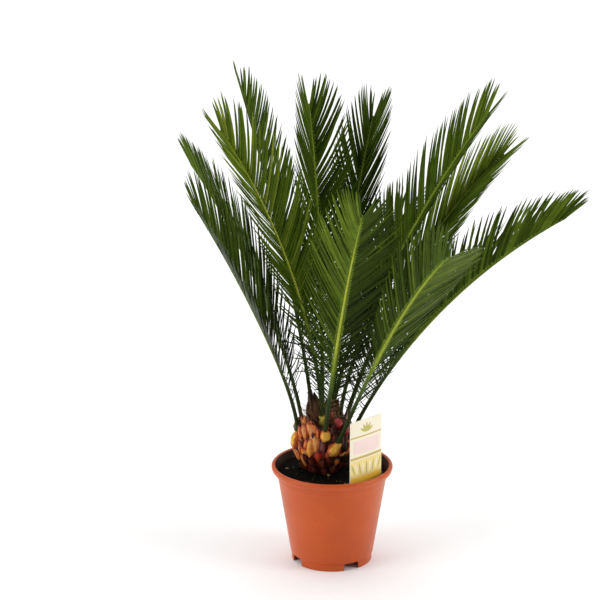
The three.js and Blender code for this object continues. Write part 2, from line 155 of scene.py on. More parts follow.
# Each frond: seat bearing, seat ring, heading, rise, bend, arch, sweep, length, roll, twist and vee.
# Then its tones, from 0 for dark to 1 for bright: stalk, rib, right leaflets and left leaflets.
FRONDS = {
    "frond_left_front": ((188, 35, 226, 64, 24, 11, 9, 427, 49, 2, 24), (0.12, 0.6, 0.28, 0.2)),
    "frond_left_back": ((163, 29, 155, 71, 12, 18, 7, 411, -21, -16, 25), (0.12, 0.5, 0.4, 0.36)),
    "frond_left": ((-95, 14, 174, 81, 9, 25, -2, 452, 49, -33, 36), (0.15, 0.85, 0.62, 0.56)),
    "frond_back_left": ((132, 21, 119, 70, 14, 19, -9, 492, -42, 3, 24), (0.1, 0.6, 0.32, 0.5)),
    "frond_back": ((95, 19, 97, 82, 9, 23, 11, 454, -18, -6, 36), (0.2, 0.75, 0.27, 0.42)),
    "frond_back_right": ((55, 20, 74, 71, 9, 27, -2, 458, -8, -5, 52), (0.1, 0.65, 0.25, 0.2)),
    "frond_right": ((-2, 22, 2, 71, 19, 17, 0, 501, -17, 0, 22), (0.2, 0.75, 0.34, 0.42)),
    "frond_right_back": ((28, 30, 44, 62, 7, 41, 5, 490, -39, 15, 60), (0.15, 0.65, 0.5, 0.64)),
    "frond_right_low": ((-14, 36, -20, 60, 9, 28, 13, 469, 18, 2, 50), (0.05, 0.6, 0.36, 0.42)),
    "frond_right_front": ((-62, 36, -64, 62, -4, 32, -22, 491, 31, 20, 37), (0.12, 0.8, 0.3, 0.46)),
    "frond_front": ((-90, 33, -78, 66, 2, 14, 0, 450, 24, 0, 16), (0.12, 0.86, 0.44, 0.22)),
    "frond_inner_back": ((20, 10, 57, 61, 16, 22, 0, 325, 0, 0, 30), (0.1, 0.4, 0.2, 0.2)),
}


# Sums

TURN = 2 * math.pi
ARC_STEPS = 4
rad = math.radians


def mix(a, b, t):
    return a + (b - a) * t


def clamp(x, low, high):
    return max(low, min(high, x))


def along(pairs, x):
    """Value at x of a line through pairs of (x, value)."""
    if x <= pairs[0][0]:
        return pairs[0][1]
    for (x0, y0), (x1, y1) in zip(pairs, pairs[1:]):
        if x <= x1:
            return mix(y0, y1, (x - x0) / (x1 - x0))
    return pairs[-1][1]


def tint(*screen):
    """Linear colour of a screen colour given from 0 to 255."""
    shares = [value / 255 for value in screen]
    return tuple(s / 12.92 if s <= 0.04045 else ((s + 0.055) / 1.055) ** 2.4 for s in shares)


def darker(color, share):
    return tuple(c * share for c in color)


def blend_tints(tints, t):
    """Colour at a share t of an even row of colours."""
    spot = clamp(t, 0, 1) * (len(tints) - 1)
    k = min(int(spot), len(tints) - 2)
    return tuple(mix(a, b, spot - k) for a, b in zip(tints[k], tints[k + 1]))


def circle(count):
    """Angles of even steps once round."""
    return [TURN * j / count for j in range(count)]


def corner_arc(x, z, radius, start):
    """Quarter circle about a point, from a start in degrees."""
    angles = [rad(start + 90 * i / ARC_STEPS) for i in range(ARC_STEPS + 1)]
    return [(x + radius * math.cos(angle), z + radius * math.sin(angle)) for angle in angles]


def golden(n):
    """Bearing of one step of an even spiral."""
    return (137.508 * n) % 360


def compass(bearing):
    """Level direction at a bearing, and the one to its left."""
    flat = Vector((math.cos(rad(bearing)), math.sin(rad(bearing)), 0))
    return flat, Vector((-flat.y, flat.x, 0))


def leaning_axes(bearing, lean):
    """Outward, upward and sideways directions of something that leans out from upright."""
    flat, side = compass(bearing)
    up = flat * math.sin(rad(lean)) + Vector((0, 0, math.cos(rad(lean))))
    return flat * math.cos(rad(lean)) - Vector((0, 0, math.sin(rad(lean)))), up, side


def around(bearing, radius, z):
    """A point about the trunk's axis."""
    turn = rad(bearing)
    return Vector((TRUNK_X + radius * math.cos(turn), TRUNK_Y + radius * math.sin(turn), z))


def on_dome(bearing, ring, depth):
    """A point under the trunk's domed top."""
    return around(bearing, ring, TRUNK_TOP_Z - depth - TRUNK_DOME * ring ** 2)


# Outline of the trunk's side, as (height, radius)
TRUNK_SIDE = (
    (TRUNK_FOOT_Z, TRUNK_FOOT_RADIUS),
    (mix(TRUNK_FOOT_Z, TRUNK_BELLY_Z, 0.4), mix(TRUNK_FOOT_RADIUS, TRUNK_BELLY_RADIUS, 0.62)),
    (TRUNK_BELLY_Z, TRUNK_BELLY_RADIUS),
    (SHOULDER_Z, TRUNK_SHOULDER),
)


class Frond:
    """One frond's numbers, with the points and directions along its rib."""

    KEYS = ("seat", "ring", "head", "rise", "bend", "arch", "sweep", "length", "roll", "twist", "vee")
    TONES = ("stalk_tone", "rib_tone", "right_tone", "left_tone")

    def __init__(self, name, values, tones):
        self.name = name
        for key, value in zip(self.KEYS + self.TONES, values + tones):
            setattr(self, key, value)
        self.points = [on_dome(self.seat, self.ring, SEAT_DEPTH)]
        for i in range(CURVE_STEPS):
            step = self.aim((i + 0.5) / CURVE_STEPS) * (self.length / CURVE_STEPS)
            self.points.append(self.points[-1] + step)

    def heading(self, u):
        return rad(self.head + self.sweep * (u - 0.5))

    def aim(self, u):
        tilt = rad(self.rise + self.bend * math.exp(-u / BEND_REACH) - self.arch * u ** ARCH_POWER)
        head = self.heading(u)
        return Vector((math.cos(tilt) * math.cos(head), math.cos(tilt) * math.sin(head), math.sin(tilt)))

    def station(self, u):
        """Place and axes at a share u of the rib: aim along it, side to its right and up to its upper
        face, both turned by the blade's roll."""
        spot = u * CURVE_STEPS
        k = min(int(spot), CURVE_STEPS - 1)
        point = self.points[k].lerp(self.points[k + 1], spot - k)
        aim = self.aim(u)
        head = self.heading(u)
        roll = rad(self.roll + self.twist * (u - ROLL_MIDDLE))
        level = Vector((math.sin(head), -math.cos(head), 0))
        side = level * math.cos(roll) + level.cross(aim).normalized() * math.sin(roll)
        return point, aim, side, side.cross(aim).normalized()

    def stalk_radius(self, u):
        base = STALK_BASE + max(0, self.ring - FLARE_RING) * FLARE_GROWTH
        neck = STALK_NECK * along(STALK_TAPER, u)
        return mix(base, neck, u / FLARE_REACH) if u < FLARE_REACH else neck

    def rib_radius(self, u):
        return self.stalk_radius(u) * along(RIB_SLIM, u)

    def blade_out(self, side, up, hand):
        """Direction in which one row of leaflets leaves the rib, before it leans ahead."""
        vee = rad(self.vee)
        return side * (hand * math.cos(vee)) + up * math.sin(vee)


ALL_FRONDS = [Frond(name, values, tones) for name, (values, tones) in FRONDS.items()]


# Mesh making


class Skin:
    """Gathers points and faces in millimetres, and makes one mesh of them in metres."""

    def __init__(self):
        self.points = []
        self.faces = []
        self.slots = []

    def face(self, corners, slot):
        self.faces.append(corners)
        self.slots.append(slot)

    def rings(self, rings, slot=0):
        """Closed skin over a row of rings of equal count. A ring of one point is a tip.
        The slot may be a function of the step along the row and the place round it."""
        pick = slot if callable(slot) else (lambda step, turn: slot)
        starts = []
        for ring in rings:
            starts.append(len(self.points))
            self.points.extend(ring)
        for i, (a, b) in enumerate(zip(starts, starts[1:])):
            count = max(len(rings[i]), len(rings[i + 1]))
            for j in range(count):
                k = (j + 1) % count
                if len(rings[i]) == 1:
                    corners = (a, b + k, b + j)
                elif len(rings[i + 1]) == 1:
                    corners = (a + j, a + k, b)
                else:
                    corners = (a + j, a + k, b + k, b + j)
                self.face(corners, pick(i, j))
        if len(rings[0]) > 1:
            self.face(tuple(reversed(range(starts[0], starts[1]))), pick(0, 0))
        if len(rings[-1]) > 1:
            self.face(tuple(range(starts[-1], len(self.points))), pick(len(rings) - 2, 0))

    def turned(self, profile, count, slot=0):
        """Skin of a profile of (radius, height) turned about the upright axis."""
        rings = []
        for radius, height in profile:
            angles = circle(count)[:1] if radius < 1e-6 else circle(count)
            rings.append([Vector((radius * math.cos(a), radius * math.sin(a), height)) for a in angles])
        self.rings(rings, slot)

    def thread(self, line, radius, slot, sides=4):
        """Thin tapering strand along a line of points."""
        rings = []
        for i, point in enumerate(line[:-1]):
            ahead = (line[i + 1] - line[max(i - 1, 0)]).normalized()
            side = ahead.cross(Vector((0.3, 0.2, 1))).normalized()
            over = ahead.cross(side)
            size = radius * (1 - 0.75 * i / len(line))
            rings.append([
                point + side * (size * math.cos(angle)) + over * (size * math.sin(angle))
                for angle in circle(sides)
            ])
        rings.append([line[-1]])
        self.rings(rings, slot)

    def lump(self, centre, size, rng, slot, fine):
        """A crumb: a small faceted ball pushed out of round."""
        ball = bmesh.new()
        bmesh.ops.create_icosphere(ball, subdivisions=2 if fine else 1, radius=1)
        start = len(self.points)
        pull = Vector((rng.uniform(0.6, 1.3), rng.uniform(0.6, 1.3), rng.uniform(0.5, 0.9))) * size
        for vert in ball.verts:
            push = rng.uniform(0.75, 1.2)
            self.points.append(centre + Vector((c * p for c, p in zip(vert.co, pull))) * push)
        for face in ball.faces:
            self.face(tuple(start + vert.index for vert in face.verts), slot)
        ball.free()

    def make(self, name, materials, smooth=True):
        """One object of everything gathered."""
        mesh = bpy.data.meshes.new(name)
        mesh.from_pydata([tuple(point * MM) for point in self.points], [], self.faces)
        for material in materials:
            mesh.materials.append(material)
        mesh.polygons.foreach_set("material_index", self.slots)
        mesh.polygons.foreach_set("use_smooth", [smooth] * len(self.faces))
        piece = add_object(name, mesh)
        with_mesh(piece, lambda body: bmesh.ops.recalc_face_normals(body, faces=body.faces))
        return piece

    def tree(self):
        return BVHTree.FromPolygons(self.points, self.faces)


def add_object(name, data):
    """An object of that data in the scene, in place of an older one of that name."""
    old = bpy.data.objects.get(name)
    if old:
        bpy.data.objects.remove(old)
    made = bpy.data.objects.new(name, data)
    bpy.context.scene.collection.objects.link(made)
    return made


def with_mesh(piece, work):
    """Runs work on the piece's mesh opened for editing."""
    body = bmesh.new()
    body.from_mesh(piece.data)
    work(body)
    body.to_mesh(piece.data)
    body.free()
    piece.data.update()


def crease(piece, angle):
    """Marks edges that turn by more than angle as sharp, so that flat faces read cleanly."""
    def mark(body):
        for edge in body.edges:
            edge.smooth = edge.calc_face_angle(0) < rad(angle)
    with_mesh(piece, mark)


def apply_modifiers(piece):
    """Turns a piece's modifiers into its mesh."""
    graph = bpy.context.evaluated_depsgraph_get()
    fresh = bpy.data.meshes.new_from_object(piece.evaluated_get(graph))
    piece.modifiers.clear()
    piece.data = fresh


def settle(piece, slot, *nodes):
    """Puts a piece on the plant's body and hides the nodes that it stands for. The slot, its finish, is not
    used.
    """
    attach(piece, BODY)
    if nodes:
        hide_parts(*nodes)


# Shader groups


def feed(tree, node, inputs):
    """Links a node's inputs to sockets, or gives them values."""
    for key, value in inputs.items():
        if isinstance(value, bpy.types.NodeSocket):
            tree.links.new(value, node.inputs[key])
        else:
            node.inputs[key].default_value = value


def add_node(tree, kind, inputs, **settings):
    """A new shader node with its settings and inputs, as its outputs."""
    node = tree.nodes.new(f"ShaderNode{kind}")
    for key, value in settings.items():
        setattr(node, key, value)
    feed(tree, node, inputs)
    return node.outputs


def add_mix(tree, kind, share, first, second):
    """Mix of two numbers (FLOAT) or two colours (RGBA) by a share."""
    place, out = {"FLOAT": (2, 0), "RGBA": (6, 2)}[kind]
    return add_node(tree, "Mix", {0: share, place: first, place + 1: second}, data_type=kind)[out]


def stretched_place(tree, start):
    """Object coordinates drawn out by the group's Stretch input."""
    place = add_node(tree, "TexCoord", {})["Object"]
    return add_node(tree, "VectorMath", {0: place, 1: start["Stretch"]}, operation="MULTIPLY")[0]


def cloud_mask(tree, vector, scale, detail):
    """Soft cloud mask from 0 to 1, with more contrast than plain noise."""
    values = {"Vector": vector, "Scale": scale, "Detail": detail, "Roughness": 0.6}
    cloud = add_node(tree, "TexNoise", values)["Fac"]
    return add_node(tree, "MapRange", {"Value": cloud, "From Min": 0.32, "From Max": 0.68})["Result"]


def wire_drift(tree, start):
    """Colour that drifts between two shades in soft patches, with finer flecks over them."""
    vector = stretched_place(tree, start)
    patches = cloud_mask(tree, vector, start["Patch Scale"], 3)
    flecks = cloud_mask(tree, vector, start["Fleck Scale"], 4)
    mask = add_mix(tree, "FLOAT", start["Fleck Share"], patches, flecks)
    return add_mix(tree, "RGBA", mask, start["First"], start["Second"]), mask


def wire_dust(tree, start):
    """Mask of dust that lies where a surface faces up, broken by small clouds."""
    normal = add_node(tree, "NewGeometry", {})["Normal"]
    rise = add_node(tree, "SeparateXYZ", {0: normal})["Z"]
    facing = add_node(tree, "MapRange", {"Value": rise, "From Min": 0.1, "From Max": 0.9})["Result"]
    patches = cloud_mask(tree, stretched_place(tree, start), start["Scale"], 5)
    both = add_node(tree, "Math", {0: facing, 1: patches}, operation="MULTIPLY")[0]
    return (add_node(tree, "Math", {0: both, 1: start["Amount"]}, operation="MULTIPLY")[0],)


def wire_relief(tree, start):
    """Height of a fine grain with small pits, which may be drawn out into fibres."""
    vector = stretched_place(tree, start)
    grain = cloud_mask(tree, vector, start["Scale"], 6)
    cells = add_node(tree, "TexVoronoi", {"Vector": vector, "Scale": start["Scale"]})
    return (add_mix(tree, "FLOAT", start["Pits"], grain, cells["Distance"]),)


# Each group: what wires it, its inputs with their values, and its outputs
GROUPS = {
    "Colour Drift": (
        wire_drift,
        {
            "First": (0.5, 0.5, 0.5, 1), "Second": (0.3, 0.3, 0.3, 1), "Patch Scale": 20,
            "Fleck Scale": 300, "Fleck Share": 0.3, "Stretch": (1, 1, 1),
        },
        ("Color", "Mask"),
    ),
    "Settled Dust": (wire_dust, {"Amount": 0.4, "Scale": 120, "Stretch": (1, 1, 1)}, ("Mask",)),
    "Fine Relief": (wire_relief, {"Scale": 400, "Pits": 0.3, "Stretch": (1, 1, 1)}, ("Height",)),
}


def add_socket(group, label, side, size):
    kind = {1: "Float", 3: "Vector", 4: "Color"}[size]
    return group.interface.new_socket(label, in_out=side, socket_type=f"NodeSocket{kind}")


def shader_group(name):
    """The shader group of that name, which is made when it isn't there yet."""
    if name in bpy.data.node_groups:
        return bpy.data.node_groups[name]
    wire, inputs, outputs = GROUPS[name]
    group = bpy.data.node_groups.new(name, "ShaderNodeTree")
    for label, value in inputs.items():
        size = len(value) if isinstance(value, tuple) else 1
        add_socket(group, label, "INPUT", size).default_value = value
    for label in outputs:
        add_socket(group, label, "OUTPUT", 4 if label == "Color" else 1)
    start = group.nodes.new("NodeGroupInput")
    end = group.nodes.new("NodeGroupOutput")
    feed(group, end, dict(zip(outputs, wire(group, start.outputs))))
    return group


# Materials

# Each finish: its second shade as a share of the first, roughness from and to, the drift's patches, flecks
# and fleck share, the relief's strength, depth, scale and pits, how far drift and relief are drawn out, and
# the shader's own values
FINISHES = {
    "terracotta": (1, (0.36, 0.48), (14, 240, 0.25), (0.12, 0.25, 900, 0.2), (1, 1), {
        "Specular IOR Level": 0.3, "Specular Tint": (1, 0.8, 0.55, 1), "Coat Weight": 0.36,
        "Coat Roughness": 0.38, "Coat Tint": (1, 1, 0.74, 1),
    }),
    "peat": (0.5, (0.85, 1), (60, 700, 0.6), (0.9, 1.2, 520, 0.5), (1, 1), {"Specular IOR Level": 0.06}),
    "card": (0.93, (0.28, 0.38), (35, 900, 0.4), (0.05, 0.05, 1500, 0.1), (1, 1), {
        "Coat Weight": 0.3, "Coat Roughness": 0.15,
    }),
    "bark": (0.35, (0.26, 0.56), (95, 700, 0.4), (0.55, 0.6, 700, 0.3), (0.3, 0.22), {
        "Specular IOR Level": 0.26, "Coat Weight": 0.15, "Coat Roughness": 0.25,
    }),
    "stalk": (0.72, (0.4, 0.56), (45, 900, 0.4), (0.25, 0.25, 900, 0.2), (0.25, 0.2), {
        "Specular IOR Level": 0.07, "Specular Tint": (0.8, 0.9, 0.4, 1),
    }),
    "leaf": (0.6, (0.4, 0.56), (60, 1100, 0.35), (0.2, 0.15, 1300, 0.25), (1, 1), {
        "Specular IOR Level": 0.09, "Specular Tint": (0.75, 0.9, 0.2, 1),
    }),
    "floor": (0.985, (0.75, 0.85), (3, 200, 0.3), (0.05, 0.1, 500, 0.2), (1, 1), {}),
}
# Scale of the dust's clouds, and its tint
DUST = {"terracotta": (90, tint(48, 34, 26)), "bark": (160, tint(44, 28, 20))}


def add_group(tree, name, inputs):
    return add_node(tree, "Group", inputs, node_tree=shader_group(name))


def surface(kind, name, color, shade=None, dusty=0):
    """A material whose colour drifts between two shades, with uneven gloss, fine relief and perhaps dust."""
    fade, (low, high), drift, (strength, depth, grain, pits), stretch, own = FINISHES[kind]
    old = bpy.data.materials.get(name)
    if old:
        bpy.data.materials.remove(old)
    material = bpy.data.materials.new(name)
    material.use_nodes = True
    tree = material.node_tree
    colour = add_group(tree, "Colour Drift", {
        "First": (*color, 1), "Second": (*(darker(color, fade) if shade is None else shade), 1),
        "Patch Scale": drift[0], "Fleck Scale": drift[1], "Fleck Share": drift[2],
        "Stretch": (1, 1, stretch[0]),
    })
    base = colour["Color"]
    if dusty:
        scale, dust_tint = DUST[kind]
        mask = add_group(tree, "Settled Dust", {"Amount": dusty, "Scale": scale})["Mask"]
        base = add_mix(tree, "RGBA", mask, base, (*dust_tint, 1))
    gloss = add_node(tree, "MapRange", {"Value": colour["Mask"], "To Min": low, "To Max": high})
    relief = add_group(tree, "Fine Relief", {"Scale": grain, "Pits": pits, "Stretch": (1, 1, stretch[1])})
    bump = {"Height": relief["Height"], "Strength": strength, "Distance": depth * MM}
    wired = {
        "Base Color": base, "Roughness": gloss["Result"], "Normal": add_node(tree, "Bump", bump)["Normal"],
    }
    feed(tree, tree.nodes["Principled BSDF"], {**own, **wired})
    return material


def tone_row(kind, name, tints, count):
    """Materials that run evenly through a row of tints."""
    return [surface(kind, f"{name}_{i}", blend_tints(tints, i / (count - 1))) for i in range(count)]


# Pot


def rounded(points, radius):
    """A profile with each corner rounded by up to radius."""
    corners = [Vector(point) for point in points]
    out = [points[0]]
    for before, here, after in zip(corners, corners[1:], corners[2:]):
        back = before - here
        ahead = after - here
        cut = min(radius, back.length * 0.45, ahead.length * 0.45)
        start = here + back.normalized() * cut
        end = here + ahead.normalized() * cut
        for i in range(ARC_STEPS + 1):
            t = i / ARC_STEPS
            out.append(tuple(start * (1 - t) ** 2 + here * (2 * t * (1 - t)) + end * t * t))
    out.append(points[-1])
    return out


def pot_profile(height, rim):
    """Section of the pot's wall, floor and rolled rim, as (radius, height)."""
    rim_under = height - RIM_BAND
    collar_z = rim_under - COLLAR_DROP
    collar_radius = mix(WALL_FOOT, WALL_TOP, (collar_z - FOOT_HEIGHT) / (rim_under - 3 - FOOT_HEIGHT))
    return (
        (0, 0),
        (CENTRE_FOOT, 0),
        (CENTRE_FOOT + 2, FLOOR_UNDER),
        (FOOT_RADIUS - WALL - 0.6, FLOOR_UNDER),
        (FOOT_RADIUS - WALL, 0),
        (FOOT_RADIUS, 0),
        (FOOT_RADIUS, FOOT_HEIGHT),
        (WALL_FOOT, FOOT_HEIGHT + 0.8),
        (collar_radius - 0.1, collar_z - 0.5),
        (collar_radius + COLLAR, collar_z + 0.5),
        (WALL_TOP + 0.5, rim_under - 2.2),
        (rim - 1.6, rim_under + 0.6),
        (rim, rim_under + 4),
        (rim, height - 2.2),
        (rim - 2.4, height),
        (rim - 5.2, height - 1),
        (WALL_TOP - WALL + 1, rim_under),
        (WALL_TOP - WALL - 0.4, rim_under - 4),
        (WALL_FOOT - WALL, FOOT_HEIGHT + 3),
        (WALL_FOOT - WALL - 1.5, FLOOR),
        (0, FLOOR),
    )


def drain_cutter():
    """Blocks that cut the notches through the pot's foot, with rounded upper corners."""
    cutter = Skin()
    half = DRAIN_WIDTH / 2
    outline = [(-half, -DRAIN_UNDER), (half, -DRAIN_UNDER)]
    for start, x in ((0, half - DRAIN_CORNER), (90, -half + DRAIN_CORNER)):
        outline += corner_arc(x, FOOT_HEIGHT - DRAIN_CORNER, DRAIN_CORNER, start)
    for bearing in DRAIN_BEARINGS:
        out, side = compass(bearing)
        cutter.rings([
            [out * reach + side * x + Vector((0, 0, z)) for x, z in outline]
            for reach in (DRAIN_INNER, RIM_RADIUS)
        ])
    return cutter.make("drain_cutter", [])


def make_pot(props):
    skin = Skin()
    profile = rounded(pot_profile(props.height / MM, props.rim_radius / MM), POT_ROUNDING)
    peak = max(range(len(profile)), key=lambda step: profile[step][1])
    # The inside of the pot, from just under its rim down, is darker: partly peat stain, partly painted shade
    # in the recess
    stained = next(step for step in range(peak, len(profile)) if profile[step][1] < POT_HEIGHT - STAIN_AND_SHADE_DROP)
    skin.turned(profile, ROUND_SEGMENTS, lambda step, turn: 1 if step >= stained else 0)
    pot = skin.make("pot_shell", [
        surface("terracotta", "terracotta_plastic", props.color, props.shade, 0.1),
        surface("terracotta", "terracotta_stained", props.stained, darker(props.stained, 0.3), 0.6),
    ])
    cutter = drain_cutter()
    cut = pot.modifiers.new("notches", "BOOLEAN")
    cut.operation = "DIFFERENCE"
    cut.solver = "EXACT"
    cut.object = cutter
    apply_modifiers(pot)
    bpy.data.objects.remove(cutter)
    crease(pot, 40)
    settle(pot, "terracotta_plastic", "pot")


# Peat

CRUMB_SHADES = {
    "peat_crumb_brown": (tint(52, 36, 24), tint(34, 24, 18)),
    "peat_grit": (tint(150, 128, 92), tint(110, 92, 66)),
    "peat_moss": (tint(44, 66, 34), tint(30, 44, 26)),
    "root_fibre": (tint(120, 84, 48), tint(84, 56, 32)),
}


def soil_height(x, y, lumps):
    """Uneven top of the peat, a little higher round the trunk."""
    place = Vector((x, y, 0))
    near = math.hypot(x - TRUNK_X, y - TRUNK_Y) - TRUNK_FOOT_RADIUS
    heap = HEAP_HEIGHT * math.exp(-max(near, 0) / HEAP_REACH)
    clods = noise.fractal(place / CLOD_WIDTH, 1, 2.2, 4) * lumps
    grains = noise.noise(place / GRAIN_WIDTH) * lumps * 0.45
    return SOIL_TOP - HEAP_HEIGHT + heap + clods + grains


def make_soil(props):
    rim_under = POT_HEIGHT - RIM_BAND
    side = (
        (0, FLOOR + CLEAR),
        (WALL_FOOT - WALL - 1.7 - CLEAR, FLOOR + CLEAR),
        (WALL_FOOT - WALL - 0.1 - CLEAR, FOOT_HEIGHT + 3),
        (WALL_TOP - WALL - 0.4 - CLEAR, rim_under - 4),
    )
    edge = side[-1][0] - 0.4
    top = [(edge * (1 - i / SOIL_RINGS), SOIL_TOP) for i in range(SOIL_RINGS)]
    skin = Skin()
    skin.turned([*side, *top, (0, SOIL_TOP)], SOIL_SEGMENTS)
    lumps = props.lumps / MM
    for point in skin.points:
        if point.z == SOIL_TOP:
            point.z = soil_height(point.x, point.y, lumps)
    bed = skin.make("soil_bed", [surface("peat", "peat", props.color)])
    settle(bed, "peat", "soil")
    scatter_crumbs(props, edge)


def soil_spot(rng, edge):
    """A random place on the peat between the trunk and the wall."""
    while True:
        radius = edge * math.sqrt(rng.random())
        bearing = rng.uniform(0, TURN)
        x, y = radius * math.cos(bearing), radius * math.sin(bearing)
        if math.hypot(x - TRUNK_X, y - TRUNK_Y) > TRUNK_FOOT_RADIUS:
            return x, y


def scatter_crumbs(props, edge):
    """Loose crumbs, pale grit and root fibres lying on the peat."""
    rng = random.Random(11)
    lumps = props.lumps / MM
    skin = Skin()
    for i in range(props.crumbs):
        x, y = soil_spot(rng, edge - 2)
        size = rng.uniform(0.7, 1.4) if i % 6 else rng.uniform(1.6, 3.0)
        tone = rng.choices((0, 1, 2, 3), (0.55, 0.36, 0.06, 0.03))[0]
        centre = Vector((x, y, soil_height(x, y, lumps) + size * 0.3))
        skin.lump(centre, size, rng, tone, fine=i % 6 == 0)
    for _ in range(ROOT_FIBRES):
        x, y = soil_spot(rng, edge - 6)
        turn = rng.uniform(0, TURN)
        line = []
        for _ in range(FIBRE_POINTS):
            line.append(Vector((x, y, soil_height(x, y, lumps) + rng.uniform(0.3, 1.3))))
            turn += rng.uniform(-0.6, 0.6)
            x += FIBRE_STEP * math.cos(turn)
            y += FIBRE_STEP * math.sin(turn)
        if all(math.hypot(point.x, point.y) < edge for point in line):
            skin.thread(line, rng.uniform(0.18, 0.38), rng.choice((1, 2, 4)))
    materials = [surface("peat", "peat_crumb_dark", darker(props.color, 1.2), darker(props.color, 0.6))]
    materials += [surface("peat", name, *shades) for name, shades in CRUMB_SHADES.items()]
    settle(skin.make("soil_crumbs", materials), "peat")


# Plant label

LABEL_SLOTS = ("cream", "pink", "gold", "amber", "straw", "olive")
# Prints: how far in from the sides, lowest and highest height above the card's foot, corner and tint
LABEL_PRINTS = (
    (0, 0.4, 12, 2.4, "amber"),
    (0, 12, 37, 0.4, "straw"),
    (0, 38.5, 42, 0.4, "gold"),
    (5, 46, 66, 3, "pink"),
    (0, 70, 72, 0.4, "gold"),
)
PRINT_INSET = 0.4
LABEL_CUTS = 14


def rounded_box(low_x, high_x, low_z, high_z, corner):
    """Outline of a box with rounded corners, as (across, height)."""
    right, left = high_x - corner, low_x + corner
    top, foot = high_z - corner, low_z + corner
    outline = []
    for x, z, start in ((right, top, 0), (left, top, 90), (left, foot, 180), (right, foot, 270)):
        outline += corner_arc(x, z, corner, start)
    return outline


def stake_outline():
    """The stake below the card, down to its blunt tip in the peat."""
    return [
        (-STAKE_WIDTH / 2, LABEL_FOOT + 4),
        (-STAKE_WIDTH / 2, LABEL_FOOT),
        (-STAKE_WIDTH / 3, STAKE_TIP),
        (STAKE_WIDTH / 3, STAKE_TIP),
        (STAKE_WIDTH / 2, LABEL_FOOT),
        (STAKE_WIDTH / 2, LABEL_FOOT + 4),
    ]


def leaf_outline(foot_x, foot_z, lean, length, width):
    """A plain pointed leaf that leans from upright, as (across, height)."""
    outline = []
    for hand in (1, -1):
        for i in range(7):
            t = i / 6 if hand > 0 else 1 - i / 6
            reach = hand * width / 2 * math.sin(math.pi * t) ** 0.8
            x = reach * math.cos(lean) + length * t * math.sin(lean)
            z = -reach * math.sin(lean) + length * t * math.cos(lean)
            if 0 < i or hand > 0:
                outline.append((foot_x + x, foot_z + z))
    return outline[:-1]


def label_zones(half, card_top):
    """The card, its stake and its prints, each with its outline, its back and front, and its slot."""
    width = half - PRINT_INSET
    face = -LABEL_THICK / 2
    printed = (face - 0.08, face + 0.2)
    raised = (face - 0.16, face + 0.1)
    cream, olive = LABEL_SLOTS.index("cream"), LABEL_SLOTS.index("olive")
    zones = [
        (rounded_box(-half, half, LABEL_FOOT, card_top, LABEL_CORNER), (-face, face), cream),
        (stake_outline(), (-face - 0.05, face + 0.05), cream),
    ]
    for inset, low, high, corner, tone in LABEL_PRINTS:
        outline = rounded_box(-width + inset, width - inset, LABEL_FOOT + low, LABEL_FOOT + high, corner)
        zones.append((outline, printed, LABEL_SLOTS.index(tone)))
    for step in range(-4, 5):
        blade = (5.6 * step, LABEL_FOOT + 13 + abs(step), rad(5 * step), 21 - abs(step), 3)
        zones.append((leaf_outline(*blade), raised, cream if step % 2 else olive))
    for step in range(-2, 3):
        zones.append((leaf_outline(0, LABEL_FOOT + 76, rad(31 * step), 14, 4), printed, olive))
    return zones


def make_label(props):
    """A cream card on a stake, with plain bands, a panel and a fan of leaves printed on its front."""
    half = LABEL_WIDTH / 2
    skin = Skin()
    for outline, (back, front), slot in label_zones(half, props.top / MM):
        skin.rings([[Vector((x, y, z)) for x, z in outline] for y in (back, front)], slot)
    materials = [surface("card", f"label_{name}", getattr(props, name)) for name in LABEL_SLOTS]
    label = skin.make("label_card", materials)

    def curl(body):
        for i in range(1, LABEL_CUTS):
            x = LABEL_WIDTH * MM * (i / LABEL_CUTS - 0.5)
            parts = body.verts[:] + body.edges[:] + body.faces[:]
            bmesh.ops.bisect_plane(body, geom=parts, plane_co=(x, 0, 0), plane_no=(1, 0, 0))
        turn = rad(LABEL_BEARING + 90)
        for vert in body.verts:
            x = vert.co.x
            y = vert.co.y + props.curl * (x / (half * MM)) ** 2
            vert.co.x = LABEL_RADIUS * MM * math.sin(turn) + x * math.cos(turn) - y * math.sin(turn)
            vert.co.y = -LABEL_RADIUS * MM * math.cos(turn) + x * math.sin(turn) + y * math.cos(turn)

    with_mesh(label, curl)
    crease(label, 30)
    settle(label, "label_card", "plant_label")


# Trunk

SCALE_OUTLINE = (
    (0, 0.08), (0.12, 0.36), (0.3, 0.74), (0.48, 0.98), (0.6, 1),
    (0.76, 0.8), (0.88, 0.48), (0.96, 0.2), (1, 0.06),
)
SCALE_STEPS = 16
SCALE_TUCK = 2.4
SCALE_BULGE = 5.6
SCALE_FACE = (-1, -0.82, -0.58, -0.3, 0, 0.3, 0.58, 0.82, 1)
SCALE_BACK = (0.8, 0, -0.8)
# Each tint, with the tint of a scale's margin, tip and underside, which is painted shade, and of its middle,
# which is a painted highlight
TRUNK_TINTS = {
    "orange": (tint(244, 134, 62), "rust", "tan"),
    "amber": (tint(252, 172, 70), "orange", "amber"),
    "tan": (tint(246, 166, 92), "rust", "tan"),
    "rust": (tint(186, 80, 34), "wine", "orange"),
    "wine": (tint(104, 34, 28), "dark", "umber"),
    "crimson": (tint(176, 46, 36), "wine", "rust"),
    "dark": (tint(44, 26, 20), "dark", "dark"),
    "brown": (tint(104, 62, 36), "umber", "rust"),
    "olive": (tint(116, 92, 52), "dark", "orange"),
    "umber": (tint(104, 48, 30), "dark", "umber"),
}
TRUNK_SLOTS = list(TRUNK_TINTS)
BARK_DEPTH = 1.8
BEARING_WIDTH = 0.66
